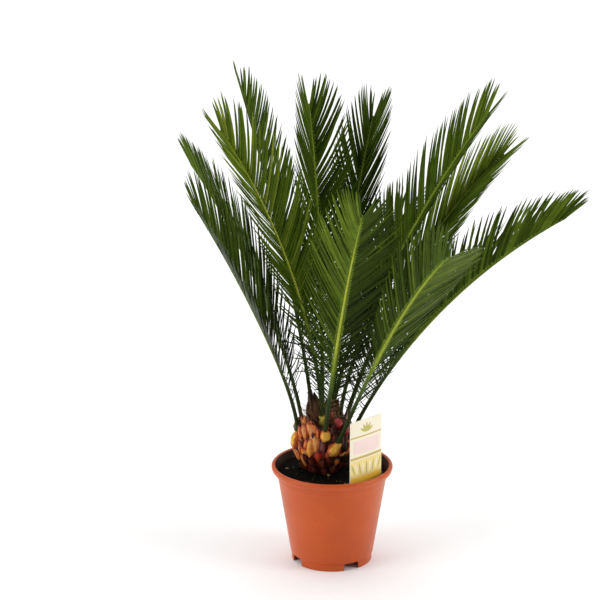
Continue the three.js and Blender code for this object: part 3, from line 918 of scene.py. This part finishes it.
# The large leaf bases on the front, each with its bearing, height, width, length, lean and tone
SHIELDS = (
    (-163, 151, 12, 31, -0.35, "orange"),
    (-153, 186, 13, 27, 0.1, "rust"),
    (-147, 166, 12, 26, 0.1, "rust"),
    (-138, 190, 16, 29, 0.05, "orange"),
    (-134, 151, 12, 22, 0.1, "wine"),
    (-132, 171, 11, 26, 0.15, "rust"),
    (-122, 169, 17, 28, 0.15, "amber"),
    (-118, 148, 12, 20, 0, "wine"),
    (-118, 194, 19, 28, -0.1, "orange"),
    (-107, 177, 19, 31, -0.15, "orange"),
    (-103, 191, 9, 24, 0, "rust"),
    (-102, 158, 13, 25, 0.1, "crimson"),
    (-91, 146, 12, 24, 0, "umber"),
    (-91, 168, 11, 34, 0, "wine"),
    (-78, 150, 13, 24, 0, "wine"),
    (-77, 192, 12, 20, 0, "wine"),
    (-61, 149, 13, 19, 0, "olive"),
    (-48, 176, 13, 25, 0, "wine"),
    (-51, 160, 9, 12, 0.5, "tan"),
    (-34, 180, 14, 24, 0, "wine"),
)


def on_shield(bearing, z):
    """Whether a scale of the spiral would hide under one of the large leaf bases."""
    for spot, height, width, length, _, _ in SHIELDS:
        across = abs((bearing - spot + 180) % 360 - 180) * BEARING_WIDTH
        if across < width * 0.45 and abs(z - height) < length * 0.4:
            return True
    return False


def scale_tone(bearing, z, rng):
    """Tone of a scale: dark at the foot, orange at the front left, wine and dark at the front right. The
    dark foot and front right are partly the trunk's own colour and partly painted shade.
    """
    turn = (bearing + 90) % 360
    from_front = turn if turn < 180 else turn - 360
    if z < 158:
        tones, odds = ("dark", "wine", "umber", "brown"), (0.42, 0.26, 0.22, 0.1)
        if -90 < from_front < -45 and z > 142:
            tones, odds = ("orange", "rust", "dark"), (0.5, 0.3, 0.2)
    elif -80 < from_front < -8:
        tones, odds = ("orange", "rust", "crimson", "wine"), (0.26, 0.34, 0.16, 0.24)
    elif -8 <= from_front < 75:
        tones, odds = ("wine", "dark", "crimson", "rust"), (0.4, 0.3, 0.16, 0.14)
    else:
        tones, odds = ("orange", "rust", "tan", "wine", "brown"), (0.2, 0.26, 0.12, 0.22, 0.2)
    return rng.choices(tones, odds)[0]


def scale_shell(skin, root, axes, size, rng, tone, lean=None):
    """One scale: a domed shell drawn to a point at both ends, tucked in at its foot and free at its tip. Its
    margins, tip and underside take the darker partner of its tint as painted shade, and its middle the
    lighter partner as a painted highlight."""
    out, up, side = axes
    width, height, lift, thick = size
    lean = rng.uniform(-0.12, 0.12) if lean is None else lean
    ridge = rng.uniform(-0.3, 0.3)
    seed = rng.uniform(0, 90)
    rings = []
    for i in range(SCALE_STEPS + 1):
        t = i / SCALE_STEPS
        half = width / 2 * along(SCALE_OUTLINE, t)
        bulge = SCALE_BULGE * math.sin(min(t / 0.62, 1) * math.pi / 2)
        stand = bulge - SCALE_TUCK + lift * max(t - 0.45, 0) ** 1.5
        middle = root + up * (height * (t - 0.42)) + out * stand + side * (lean * height * t * t)
        deep = thick * (1 - 0.6 * t)
        ring = []
        for x in SCALE_FACE:
            fall = half * (0.7 * x * x - 0.12 * math.exp(-((x - ridge) / 0.3) ** 2))
            ring.append(middle + side * (half * x) - out * fall)
        for x in SCALE_BACK:
            ring.append(middle + side * (half * x) - out * (half * 0.6 * x * x + deep))
        rings.append(ring)
    for ring in rings:
        for point in ring:
            point += noise.noise_vector(point / 3.2 + Vector((seed, 0, 0))) * 0.55
    slot, edge, heart = (TRUNK_SLOTS.index(name) for name in (tone, *TRUNK_TINTS[tone][1:]))

    def pick(step, turn):
        if turn >= len(SCALE_FACE) - 1:
            return edge
        t = (step + 0.5) / SCALE_STEPS
        x = abs((turn + 0.5) / 4 - 1)
        # Painted light: a lighter middle as a painted highlight, and darker margins, tip and underside as
        # painted shade
        highlight_and_shade = x + 0.7 * noise.noise(Vector((turn * 0.7, t * 2.6, seed)))
        if highlight_and_shade > 0.78 or t > 0.88:
            return edge
        return heart if highlight_and_shade < 0.34 and 0.12 < t < 0.72 else slot

    skin.rings(rings, pick)


def trunk_axes(bearing, z):
    """Outward, upward and sideways directions on the trunk's side."""
    reach = 4
    rise = Vector((along(TRUNK_SIDE, z + reach) - along(TRUNK_SIDE, z - reach), 2 * reach)).normalized()
    flat, side = compass(bearing)
    up = flat * rise.x + Vector((0, 0, rise.y))
    return flat * rise.y - Vector((0, 0, rise.x)), up, side


def trunk_core(skin, slot):
    """The trunk under its scales: a rough body with a domed top."""
    profile = [(0, TRUNK_FOOT_Z), (TRUNK_FOOT_RADIUS - 2, TRUNK_FOOT_Z)]
    steps = 26
    for i in range(1, steps + 1):
        z = mix(TRUNK_FOOT_Z, SHOULDER_Z, i / steps)
        profile.append((along(TRUNK_SIDE, z) - BARK_DEPTH, z))
    for i in range(1, 12):
        radius = (TRUNK_SHOULDER - BARK_DEPTH) * (1 - i / 12)
        profile.append((radius, TRUNK_TOP_Z - 1 - TRUNK_DOME * radius ** 2))
    profile.append((0, TRUNK_TOP_Z - 1))
    first = len(skin.points)
    skin.turned(profile, 96, slot)
    for point in skin.points[first:]:
        point += Vector((TRUNK_X, TRUNK_Y, 0))
        if point.z > TRUNK_FOOT_Z:
            point += noise.noise_vector(point / 5) * 1.1


def near_stalk(place, room):
    """Whether a place lies within room of a frond's stalk."""
    return any(
        (frond.station(u)[0] - place).length < frond.stalk_radius(u) + room
        for frond in ALL_FRONDS
        for u in (step / CURVE_STEPS for step in range(STALK_STEPS))
    )


def near_foot(place, room):
    """Whether a place lies within room of the swollen foot of an outer frond."""
    for frond in ALL_FRONDS:
        *places, half = foot_places(frond)
        gap = min((spot - place).length for spot in places) - half
        if frond.ring > OUTER_RING and gap < room:
            return True
    return False


def make_trunk(props):
    rng = random.Random(23)
    skin = Skin()
    trunk_core(skin, TRUNK_SLOTS.index("wine"))
    for n in range(props.scales):
        share = (n + 0.5) / props.scales
        z = mix(TRUNK_FOOT_Z + 1, SHOULDER_Z + 2, share)
        bearing = golden(n) + rng.uniform(-4, 4)
        out, up, side = trunk_axes(bearing, z)
        root = around(bearing, along(TRUNK_SIDE, z) - 1, z)
        low = near_foot(root + out * 6 + up * 6, 1.5)
        if on_shield(bearing, z + 3):
            continue
        size = (
            mix(13, 17, share) * rng.uniform(0.88, 1.14),
            mix(24, 33, share) * rng.uniform(0.88, 1.12) * (0.6 if low else 1),
            0 if low else mix(2, 7, share) * rng.uniform(0.4, 1.3),
            3.2,
        )
        scale_shell(skin, root, (out, up, side), size, rng, scale_tone(bearing, z, rng))
    for bearing, z, width, length, lean, tone in SHIELDS:
        axes = trunk_axes(bearing, z)
        root = around(bearing, along(TRUNK_SIDE, min(z, SHOULDER_Z)) + 0.6, z)
        scale_shell(skin, root, axes, (width, length, 5, 3.4), rng, tone, lean)
    materials = [
        surface("bark", f"scale_{name}", color, dusty=0.2 if name == "dark" else 0.4)
        for name, (color, _, _) in TRUNK_TINTS.items()
    ]
    trunk = skin.make("trunk_scales", materials)
    crease(trunk, 55)
    settle(trunk, "trunk_scales", "trunk")


# Long papery sheaths between the inner stalks: bearing, ring, width, height, lean and tone
SHEATHS = (
    (150, 24, 14, 34, 4, "brown"),
    (-170, 27, 11, 24, 8, "tan"),
    (-157, 27, 10, 29, 4, "orange"),
    (-145, 26, 10, 29, 0, "brown"),
    (-136, 28, 9, 26, 2, "rust"),
    (-125, 28, 10, 26, 0, "orange"),
    (-116, 27, 9, 23, 2, "brown"),
    (120, 20, 13, 46, 0, "umber"),
    (-70, 21, 8, 28, 2, "umber"),
    (-50, 17, 9, 34, 2, "brown"),
    (-22, 27, 10, 26, 8, "umber"),
    (40, 24, 11, 40, 2, "brown"),
    (75, 22, 12, 42, 0, "umber"),
    (10, 28, 10, 30, 8, "brown"),
    (100, 27, 11, 34, 5, "brown"),
)
# No bud scale stands before the front stalk: its bearing, and how far the bare place reaches to each side
FRONT_STALK = 263
FRONT_BARE = 15
HAIR_STEPS = 12
HAIR_RING = 24


def make_crown(props):
    """Pointed brown bud scales between the stalks, and the fine hairs that tangle among them."""
    rng = random.Random(31)
    skin = Skin()
    for n in range(props.bud_scales):
        share = (n + 0.5) / props.bud_scales
        ring = CROWN_RADIUS * math.sqrt(1 - share)
        bearing = golden(n) + rng.uniform(-5, 5)
        root = on_dome(bearing, ring, 3)
        axes = leaning_axes(bearing, mix(3, 20, ring / CROWN_RADIUS) + rng.uniform(-5, 5))
        height = mix(17, 16, ring / CROWN_RADIUS) * rng.uniform(0.7, 1.3)
        root += axes[1] * height * 0.3
        before_stalk = ring > 10 and abs(bearing - FRONT_STALK) < FRONT_BARE
        if before_stalk or near_stalk(root, 1.2):
            continue
        size = (rng.uniform(3.6, 6.5), height, rng.uniform(-3, 1), 1.3)
        tone = rng.choices(("brown", "dark", "wine", "rust"), (0.5, 0.26, 0.14, 0.1))[0]
        scale_shell(skin, root, axes, size, rng, tone)
    for bearing, ring, width, height, lean, tone in SHEATHS:
        axes = leaning_axes(bearing, lean)
        root = on_dome(bearing, ring, 6) + axes[1] * height * 0.4
        scale_shell(skin, root, axes, (width, height, -2, 1.6), rng, tone)
    hair = len(TRUNK_TINTS)
    for _ in range(props.hairs):
        ring = HAIR_RING * math.sqrt(rng.random())
        bearing = rng.uniform(0, 360)
        line = [on_dome(bearing, ring, 2)]
        heading = Vector((rng.uniform(-0.4, 0.4), rng.uniform(-0.4, 0.4), 1)).normalized()
        for _ in range(HAIR_STEPS):
            bent = heading + noise.noise_vector(line[-1] / 6) * 0.8 + Vector((0, 0, 0.12))
            heading = bent.normalized()
            line.append(line[-1] + heading * rng.uniform(1.8, 4.2))
        skin.thread(line, rng.uniform(0.16, 0.36), hair + (rng.random() < 0.45), 3)
    materials = [bpy.data.materials[f"scale_{name}"] for name in TRUNK_TINTS]
    materials.append(surface("bark", "crown_hair_tan", tint(176, 128, 76), dusty=0.1))
    materials.append(surface("bark", "crown_hair_brown", tint(92, 56, 34), dusty=0.1))
    settle(skin.make("crown_bud_scales", materials), "trunk_scales")


# Fronds

RIB_TINTS = (tint(36, 42, 20), tint(52, 68, 34), tint(86, 104, 40), tint(136, 152, 46), tint(192, 196, 78))
RIB_TONES = 24
RIB_SIDES = 10
RIB_STATIONS = 96
RIB_SLIM = ((0, 1), (0.12, 0.97), (0.3, 0.84), (0.7, 0.76), (1, 0.76))


def rib_ring(frond, u):
    """Section of the rib: rounded, flatter on its upper face, and slimmer where it bears leaflets."""
    point, _, side, up = frond.station(u)
    radius = frond.rib_radius(u)
    ring = []
    for angle in circle(RIB_SIDES):
        high = math.sin(angle) * (0.72 if math.sin(angle) > 0 else 1)
        ring.append(point + side * (radius * math.cos(angle)) + up * (radius * high))
    return ring


def rib_tone(frond, u):
    share = clamp((u - 0.11) / 0.33, 0, 1)
    tone = mix(frond.stalk_tone, frond.rib_tone, share * share * (3 - 2 * share))
    return tone - 0.18 * clamp((u - 0.8) / 0.2, 0, 1)


def add_rib(skin, frond):
    def pick(step, turn):
        tone = rib_tone(frond, (step + 0.5) / RIB_STATIONS)
        return round(clamp(tone, 0, 1) * (RIB_TONES - 1))

    skin.rings([rib_ring(frond, i / RIB_STATIONS) for i in range(RIB_STATIONS + 1)], pick)


# Swollen feet of the stalks: how far each reaches up its stalk and down from its seat, its width, how far
# round the trunk it is turned from the stalk, and its tint
PLAIN_FOOT = (12, 6, 11, 0, "tan")
FEET = {
    "frond_left_front": (13, 13, 17, 7, "yellow"),
    "frond_left_back": (22, 2, 11, 4, "tan"),
    "frond_left": (20, 0, 15, 0, "lime"),
    "frond_back_left": (50, 0, 13, 0, "fibre"),
    "frond_back_right": (30, 0, 10, 0, "fibre"),
    "frond_right": (16, 8, 14, 0, "crimson"),
    "frond_right_back": (18, 8, 13, 0, "crimson"),
    "frond_right_low": (18, 8, 13, 0, "wine"),
    "frond_right_front": (11, 12, 18, -11, "yellow"),
    "frond_front": (26, -6, 15, 2, "yellow"),
}
# Round buds between the stalks at the front right: bearing, ring, lowest and highest point, width and tint
KNOBS = (
    (-51, 28, 195, 212, 12, "crimson"),
    (-36, 34, 184, 200, 11, "crimson"),
)
# Each tint: a foot's face, and its darker margin, which is partly its own colour and partly painted shade
# where the foot turns away
FOOT_TINTS = {
    "yellow": (tint(252, 188, 68), tint(216, 112, 38)),
    "lime": (tint(255, 230, 84), tint(214, 160, 54)),
    "tan": (tint(158, 106, 58), tint(110, 56, 30)),
    "crimson": (tint(172, 36, 40), tint(92, 24, 24)),
    "wine": (tint(112, 32, 36), tint(64, 26, 22)),
    "fibre": (tint(112, 62, 36), tint(72, 36, 26)),
}
FOOT_SHAPE = (
    (0, 0), (0.07, 0.34), (0.18, 0.64), (0.32, 0.88), (0.48, 0.99),
    (0.6, 1), (0.74, 0.93), (0.86, 0.78), (0.94, 0.62), (1, 0.48),
)
SLEEVE_SHAPE = ((0, 0.8), (0.15, 1), (0.35, 0.98), (0.6, 0.84), (0.8, 0.68), (0.93, 0.56), (1, 0.48))
FOOT_SIDES = 24
FOOT_RINGS = 18
FOOT_STAND = 3
BULB_FLAT = 0.74
LONG_FOOT = 30


def foot_places(frond):
    """Top, middle and tip of a stalk's swollen foot, and half its width."""
    rise, drop, width, turn, _ = FEET.get(frond.name, PLAIN_FOOT)
    bearing = frond.seat + turn
    outer = frond.ring > OUTER_RING
    top = frond.station(rise / frond.length)[0]
    low_z = frond.station(0)[0].z - drop
    reach = along(TRUNK_SIDE, low_z) + FOOT_STAND if outer else frond.ring
    tip = around(bearing, reach, low_z)
    stand = compass(bearing)[0] * (FOOT_STAND if outer else 0)
    aside = around(bearing, 1, 0) - around(frond.seat, 1, 0)
    return top, (top + tip) / 2 + stand + aside * (reach / 2), tip, width / 2


def add_bulb(skin, places, bearing, slot):
    """A swollen body through its top, middle and tip, as wide as twice the last value."""
    top, middle, tip, half = places
    across = compass(bearing)[1]
    over = across.cross((top - tip).normalized())
    bend = middle * 2 - (top + tip) / 2
    shape = SLEEVE_SHAPE if (top - tip).length > LONG_FOOT else FOOT_SHAPE
    rings = []
    for i in range(FOOT_RINGS + 1):
        t = i / FOOT_RINGS
        share = along(shape, t)
        centre = tip * (1 - t) ** 2 + bend * (2 * t * (1 - t)) + top * t * t
        if share == 0:
            rings.append([centre])
            continue
        ring = []
        for angle in circle(FOOT_SIDES):
            wide = half * share * (1 + 0.05 * math.sin(5 * angle + bearing))
            point = centre + across * (wide * math.cos(angle)) + over * (wide * BULB_FLAT * math.sin(angle))
            ring.append(point + noise.noise_vector(point / 5) * 0.9)
        rings.append(ring)

    def pick(step, turn):
        # The darker margin falls at the sides and ends, where the foot turns away: partly its own colour,
        # partly painted shade
        aside = abs(turn + 0.5 - FOOT_SIDES / 4) / (FOOT_SIDES / 4)
        margin_and_shade = aside + 0.5 * noise.noise(Vector((turn * 0.5, step * 0.3, bearing)))
        return slot if 1 < step < FOOT_RINGS - 1 and margin_and_shade < 0.66 else slot + 1

    skin.rings(rings, pick)


def make_ribs():
    """Stalk, rib and swollen foot of every frond, each frond a piece of its own."""
    stalks = tone_row("stalk", "rib_tone", RIB_TINTS, RIB_TONES)
    feet = [
        surface("bark", f"stalk_foot_{name}_{part}", color, dusty=0.15)
        for name, colors in FOOT_TINTS.items()
        for part, color in zip(("face", "margin"), colors)
    ]
    names = list(FOOT_TINTS)
    for frond in ALL_FRONDS:
        skin = Skin()
        add_rib(skin, frond)
        tone = FEET.get(frond.name, PLAIN_FOOT)[4]
        add_bulb(skin, foot_places(frond), frond.seat, RIB_TONES + 2 * names.index(tone))
        rib = skin.make(f"{frond.name}_rib", [*stalks, *feet])
        settle(rib, "leaf", frond.name)
    skin = Skin()
    for bearing, ring, low, high, width, tone in KNOBS:
        top = around(bearing, ring, high)
        tip = around(bearing, ring + FOOT_STAND, low)
        middle = (top + tip) / 2 + around(bearing, FOOT_STAND, 0) - around(bearing, 0, 0)
        add_bulb(skin, (top, middle, tip, width / 2), bearing, 2 * names.index(tone))
    settle(skin.make("crown_knobs", feet), "trunk_scales")


LEAF_TINTS = (tint(23, 33, 8), tint(44, 60, 13), tint(69, 90, 20), tint(101, 122, 34), tint(142, 154, 58))
LEAF_TONES = 9
LEAFLET_SPREAD = ((0, 0.9), (0.05, 1), (0.25, 1.02), (0.5, 1), (0.75, 0.8), (0.9, 0.48), (1, 0))
# Painted light on the leaflets along the rib: painted shade on the low leaflets inside the crown, and
# lighter tips as painted light
LEAFLET_PAINTED_LIGHT = ((0, -0.38), (0.4, 0), (0.5, 0.02), (1, 0.18))
TONE_SPREAD = 0.11
TONE_SPREAD_SPINES = 0.06
# The left row starts this share of a step ahead. Some of the lowest leaflets are missing, and one that
# would be cut shorter than the shortest share of its length is left out.
LEFT_SHIFT = 0.4
SKIP_ODDS = 0.4
SKIP_UP_TO = 0.14
SHORTEST_SHARE = 0.4
# How far leaflets stray from their angle, and how wide they are, along the rib
LEAFLET_STRAY = ((0, 12), (0.15, 7), (0.32, 2), (1, 1.5))
LEAFLET_SLIM = ((0, 0.42), (0.15, 0.6), (0.35, 1), (1, 1))
LEAFLET_STATIONS = (0, 0.045, 0.12, 0.3, 0.5, 0.7, 0.86, 0.95, 1)
LEAFLET_SECTION = (
    (-1, -0.62), (-0.62, -0.14), (0, 0), (0.62, -0.14),
    (1, -0.62), (0.6, -0.5), (0, -0.36), (-0.6, -0.5),
)


def leaflet_line(frond, u, hand, length, angle, droop):
    """Points and directions along a leaflet, which bends ahead and droops as it leaves the rib."""
    point, aim, side, up = frond.station(u)
    out = frond.blade_out(side, up, hand)
    place = point + out * (frond.rib_radius(u) * 0.6)
    line = []
    before = 0
    for share in LEAFLET_STATIONS:
        middle = (share + before) / 2
        bent = angle - rad(LEAFLET_HOOK) * middle
        ahead = aim * math.cos(bent) + out * math.sin(bent)
        front = aim * math.sin(bent) - out * math.cos(bent)
        over = ahead.cross(front) * hand
        place = place + (ahead - over * (droop * middle)).normalized() * (length * (share - before))
        line.append((place, front, over))
        before = share
    return line


def clear_share(line, trees):
    """Share of a leaflet's length that is free before it would pass through something else."""
    for (start, _, _), (end, _, _), share in zip(line[1:], line[2:], LEAFLET_STATIONS[1:]):
        reach = end - start
        for tree in trees:
            hit = tree.ray_cast(start, reach.normalized(), reach.length + 2)
            if hit[0] is not None:
                return share
    return 1


def add_leaflet(skin, line, width, angle, twist, slot):
    """A leaflet along its line, ridged above, with its root cut aslant so that it meets the rib."""
    rings = []
    root = line[1][0] - line[0][0]
    skew = min(1 / math.tan(angle), root.length * 1.5 / width) * width / 2
    for (place, front, over), share in zip(line, LEAFLET_STATIONS):
        half = width / 2 * along(LEAFLET_SPREAD, share)
        if half == 0:
            rings.append([place])
            continue
        flat = front * math.cos(twist) + over * math.sin(twist)
        high = over * math.cos(twist) - front * math.sin(twist)
        ring = [place + flat * (half * x) + high * (half * y) for x, y in LEAFLET_SECTION]
        if share == 0:
            slant = root.normalized() * skew
            ring = [point + slant * x for point, (x, _) in zip(ring, LEAFLET_SECTION)]
        rings.append(ring)
    skin.rings(rings, lambda step, turn: LEAF_TONES if step == 0 else slot)


def tone_slot(tone, rng, spread):
    return round(clamp(tone + rng.gauss(0, spread), 0, 1) * (LEAF_TONES - 1))


def frond_leaflets(frond, props, trees, rng):
    """Both rows of leaflets along a frond, and the short spines on its stalk below them."""
    skin = Skin()
    pairs = round(props.pairs * frond.length / USUAL_LENGTH)
    for hand, tone in ((1, frond.right_tone), (-1, frond.left_tone)):
        for i in range(pairs):
            step = clamp((i + (LEFT_SHIFT if hand < 0 else 0)) / (pairs - 1), 0, 1)
            w = step + props.spacing * step * (step - 1)
            u = mix(BARE_STALK, LAST_LEAFLET, w)
            if rng.random() < SKIP_ODDS * max(0, 1 - w / SKIP_UP_TO):
                continue
            length = props.leaflet_length / MM * along(LEAFLET_REACH, w) * rng.uniform(0.92, 1.0)
            angle = rad(along(LEAFLET_ANGLE, w) + rng.gauss(0, along(LEAFLET_STRAY, w)))
            droop = rng.uniform(-0.02, 0.06) + rng.uniform(-0.2, 1.1) * max(0, 0.32 - w)
            line = leaflet_line(frond, u, hand, length, angle, droop)
            share = clear_share(line, trees)
            if share < SHORTEST_SHARE:
                continue
            if share < 1:
                line = leaflet_line(frond, u, hand, length * share, angle, droop)
            widest = min(props.leaflet_width / MM, length * 0.05 + 1.2)
            width = along(LEAFLET_SLIM, w) * widest * rng.uniform(0.92, 1.1)
            # Painted shade on the low leaflets, painted light at the tips
            slot = tone_slot(tone + along(LEAFLET_PAINTED_LIGHT, w), rng, TONE_SPREAD)
            add_leaflet(skin, line, width, angle, rng.gauss(0, 0.16), slot)
        for i in range(props.spines):
            share = clamp((i + rng.uniform(-0.4, 0.4)) / (props.spines - 1), 0, 1)
            u = mix(0.07, BARE_STALK - 0.006, share)
            length = mix(2, 20, share ** 2) * rng.uniform(0.6, 1.3)
            angle = rad(rng.uniform(34, 80))
            line = leaflet_line(frond, u, hand, length, angle, rng.uniform(-0.3, 0.6))
            slot = tone_slot(tone - 0.25, rng, TONE_SPREAD_SPINES)
            add_leaflet(skin, line, mix(1.1, 1.8, share), angle, 0, slot)
    return skin


def make_leaflets(props):
    """Leaflets of every frond, joined into one piece for each frond."""
    rng = random.Random(47)
    leaves = tone_row("leaf", "leaf_tone", LEAF_TINTS, LEAF_TONES)
    root = surface("leaf", "leaflet_root", tint(104, 124, 40))
    ribs = {}
    for frond in ALL_FRONDS:
        skin = Skin()
        add_rib(skin, frond)
        ribs[frond.name] = skin.tree()
    for frond in ALL_FRONDS:
        trees = [tree for name, tree in ribs.items() if name != frond.name]
        skin = frond_leaflets(frond, props, trees, rng)
        settle(skin.make(f"{frond.name}_leaflets", [*leaves, root]), "leaf", frond.name)


# Floor, light and camera

MIDDLE = (0, 0, 0.35)
# Each light: its place, what it faces, its width and its power
LIGHTS = {
    "top_light": ((0, 4, 6), (0, 4, 0), 14, 920),
    "left_light": ((-2.3, -1.2, 1.0), MIDDLE, 1.4, 36),
    "right_light": ((2.4, -0.7, 1.0), MIDDLE, 1.2, 30),
}
CAMERA_PLACE = (-0.045, -3.265, 1.401)
CAMERA_PITCH = 17.36
CAMERA_LENS = 149.46
FLOOR_RADIUS = 14


def make_stage(props):
    floor = Skin()
    floor.turned([(0, 0), (FLOOR_RADIUS / MM, 0), (FLOOR_RADIUS / MM, -20), (0, -20)], 96)
    look = surface("floor", "stage_floor", props.floor_color)
    floor.make("stage_floor", [look], smooth=False)
    for name, (place, aim, width, power) in LIGHTS.items():
        lamp = bpy.data.lights.new(name, "AREA")
        lamp.size = width
        lamp.energy = power * props.light
        light = add_object(name, lamp)
        light.location = place
        light.rotation_euler = (Vector(aim) - Vector(place)).to_track_quat("-Z", "Y").to_euler()
    world = bpy.data.worlds.get("pale_room") or bpy.data.worlds.new("pale_room")
    world.use_nodes = True
    sky = world.node_tree.nodes["Background"]
    sky.inputs["Color"].default_value = (1, 1, 1, 1)
    sky.inputs["Strength"].default_value = props.room_light
    bpy.context.scene.world = world
    bpy.context.scene.view_settings.view_transform = "Standard"
    lens = bpy.data.cameras.new("photo_camera")
    lens.lens = CAMERA_LENS
    lens.sensor_width = 36
    lens.clip_end = 60
    camera = add_object("photo_camera", lens)
    camera.location = CAMERA_PLACE
    camera.rotation_euler = (rad(90 - CAMERA_PITCH), 0, 0)
    bpy.context.scene.camera = camera


# Settings, operators and panel


def number_setting(name, description, default, high, **more):
    return FloatProperty(name=name, description=description, default=default, min=0, max=high, **more)


def length_setting(name, description, default):
    """A length given in millimetres and kept in metres."""
    kind = {"subtype": "DISTANCE", "unit": "LENGTH", "precision": 4}
    return number_setting(name, description, default * MM, 1, **kind)


def color_setting(name, description, default):
    return FloatVectorProperty(
        name=name, description=description, default=default, min=0, max=1, size=3, subtype="COLOR",
    )


def count_setting(name, description, default, high):
    return IntProperty(name=name, description=description, default=default, min=0, max=high)


class PotSettings(bpy.types.PropertyGroup):
    height: length_setting("Height", "Height of the pot to the top of its rim", POT_HEIGHT)
    rim_radius: length_setting("Rim radius", "Radius of the rim's outside", RIM_RADIUS)
    color: color_setting("Colour", "Main colour of the plastic", tint(192, 78, 22))
    shade: color_setting("Shade", "Colour that the plastic drifts to", tint(176, 68, 20))
    # Colour of the pot's inside: peat stain and painted shade
    stained: color_setting("Stained", "Colour of the peat-stained inside", tint(64, 24, 18))


class SoilSettings(bpy.types.PropertyGroup):
    lumps: length_setting("Lumps", "Height of the clods on the peat", 1.7)
    crumbs: count_setting("Crumbs", "Number of loose crumbs", 620, 5000)
    color: color_setting("Colour", "Colour of the peat", tint(15, 13, 11))


class LabelSettings(bpy.types.PropertyGroup):
    top: length_setting("Top", "Height of the card's upper edge", LABEL_TOP)
    curl: length_setting("Curl", "How far the card's sides bend back", 1.4)
    cream: color_setting("Cream", "Colour of the card", tint(240, 230, 204))
    pink: color_setting("Pink", "Colour of the panel", tint(240, 214, 206))
    gold: color_setting("Gold", "Colour of the bands", tint(196, 168, 84))
    amber: color_setting("Amber", "Colour of the foot band", tint(255, 200, 66))
    straw: color_setting("Straw", "Colour of the field", tint(238, 214, 132))
    olive: color_setting("Olive", "Colour of the leaves", tint(188, 176, 84))


class TrunkSettings(bpy.types.PropertyGroup):
    scales: count_setting("Scales", "Number of scales on the trunk's side", 108, 1000)
    bud_scales: count_setting("Bud scales", "Number of pointed scales in the crown", 120, 1000)
    hairs: count_setting("Hairs", "Number of fine hairs in the crown", 420, 2000)


class FrondSettings(bpy.types.PropertyGroup):
    pairs: count_setting("Pairs", "Leaflet pairs on a frond of usual length", 80, 120)
    spacing: number_setting("Spacing", "How much wider leaflets stand apart at the tip", 0.28, 0.9)
    spines: count_setting("Spines", "Short spines on each side of a stalk", 5, 30)
    leaflet_length: length_setting("Leaflet length", "Length of the longest leaflets", 116)
    leaflet_width: length_setting("Leaflet width", "Width of a leaflet", 3.55)


class StageSettings(bpy.types.PropertyGroup):
    floor_color: color_setting("Floor", "Colour of the floor", (0.92, 0.92, 0.92))
    light: number_setting("Light", "Strength of the soft lights", 1, 10)
    room_light: number_setting("Room", "Strength of the pale room", 0.25, 5)


class PALM_OT_stage(bpy.types.Operator):
    """Lay the pale floor, hang the soft lights and set the camera"""

    bl_idname = "palm.stage"
    bl_label = "Stage"

    def execute(self, context):
        make_stage(context.scene.palm_stage)
        return {"FINISHED"}


class PALM_OT_pot(bpy.types.Operator):
    """Mould the nursery pot with its rolled rim and notched foot"""

    bl_idname = "palm.pot"
    bl_label = "Pot"

    def execute(self, context):
        make_pot(context.scene.palm_pot)
        return {"FINISHED"}


class PALM_OT_soil(bpy.types.Operator):
    """Fill the pot with lumpy peat, crumbs and root fibres"""

    bl_idname = "palm.soil"
    bl_label = "Peat"

    def execute(self, context):
        make_soil(context.scene.palm_soil)
        return {"FINISHED"}


class PALM_OT_label(bpy.types.Operator):
    """Cut the plain plant label and print its bands"""

    bl_idname = "palm.label"
    bl_label = "Plant label"

    def execute(self, context):
        make_label(context.scene.palm_label)
        return {"FINISHED"}


class PALM_OT_trunk(bpy.types.Operator):
    """Grow the trunk's scales, then the bud scales and hairs of its crown"""

    bl_idname = "palm.trunk"
    bl_label = "Trunk and crown"

    def execute(self, context):
        make_trunk(context.scene.palm_trunk)
        make_crown(context.scene.palm_trunk)
        return {"FINISHED"}


class PALM_OT_ribs(bpy.types.Operator):
    """Grow the stalk and rib of every frond"""

    bl_idname = "palm.ribs"
    bl_label = "Frond ribs"

    def execute(self, context):
        make_ribs()
        return {"FINISHED"}


class PALM_OT_leaflets(bpy.types.Operator):
    """Grow the leaflets of every frond"""

    bl_idname = "palm.leaflets"
    bl_label = "Leaflets"

    def execute(self, context):
        make_leaflets(context.scene.palm_frond)
        return {"FINISHED"}


SETTINGS = {
    "palm_stage": StageSettings,
    "palm_pot": PotSettings,
    "palm_soil": SoilSettings,
    "palm_label": LabelSettings,
    "palm_trunk": TrunkSettings,
    "palm_frond": FrondSettings,
}
OPERATORS = (
    PALM_OT_stage, PALM_OT_pot, PALM_OT_soil, PALM_OT_label, PALM_OT_trunk, PALM_OT_ribs, PALM_OT_leaflets,
)


class PALM_PT_sidebar(bpy.types.Panel):
    """Lists the palm's settings and the operators that build its pieces"""

    bl_label = "Potted Sago Palm"
    bl_idname = "PALM_PT_sidebar"
    bl_space_type = "VIEW_3D"
    bl_region_type = "UI"
    bl_category = "Palm"

    def draw(self, context):
        for name, settings in SETTINGS.items():
            box = self.layout.box()
            for key in settings.__annotations__:
                box.prop(getattr(context.scene, name), key)
        for operator in OPERATORS:
            self.layout.operator(operator.bl_idname)


def register():
    for settings in SETTINGS.values():
        bpy.utils.register_class(settings)
    for name, settings in SETTINGS.items():
        setattr(bpy.types.Scene, name, PointerProperty(type=settings))
    for item in (*OPERATORS, PALM_PT_sidebar):
        bpy.utils.register_class(item)


def unregister():
    for item in (PALM_PT_sidebar, *reversed(OPERATORS)):
        bpy.utils.unregister_class(item)
    for name, settings in SETTINGS.items():
        delattr(bpy.types.Scene, name)
        bpy.utils.unregister_class(settings)


def main():
    register()
    bpy.ops.palm.stage()
    bpy.ops.palm.pot()
    bpy.ops.palm.soil()
    bpy.ops.palm.label()
    bpy.ops.palm.trunk()
    bpy.ops.palm.ribs()
    bpy.ops.palm.leaflets()


if __name__ == "__main__":
    main()
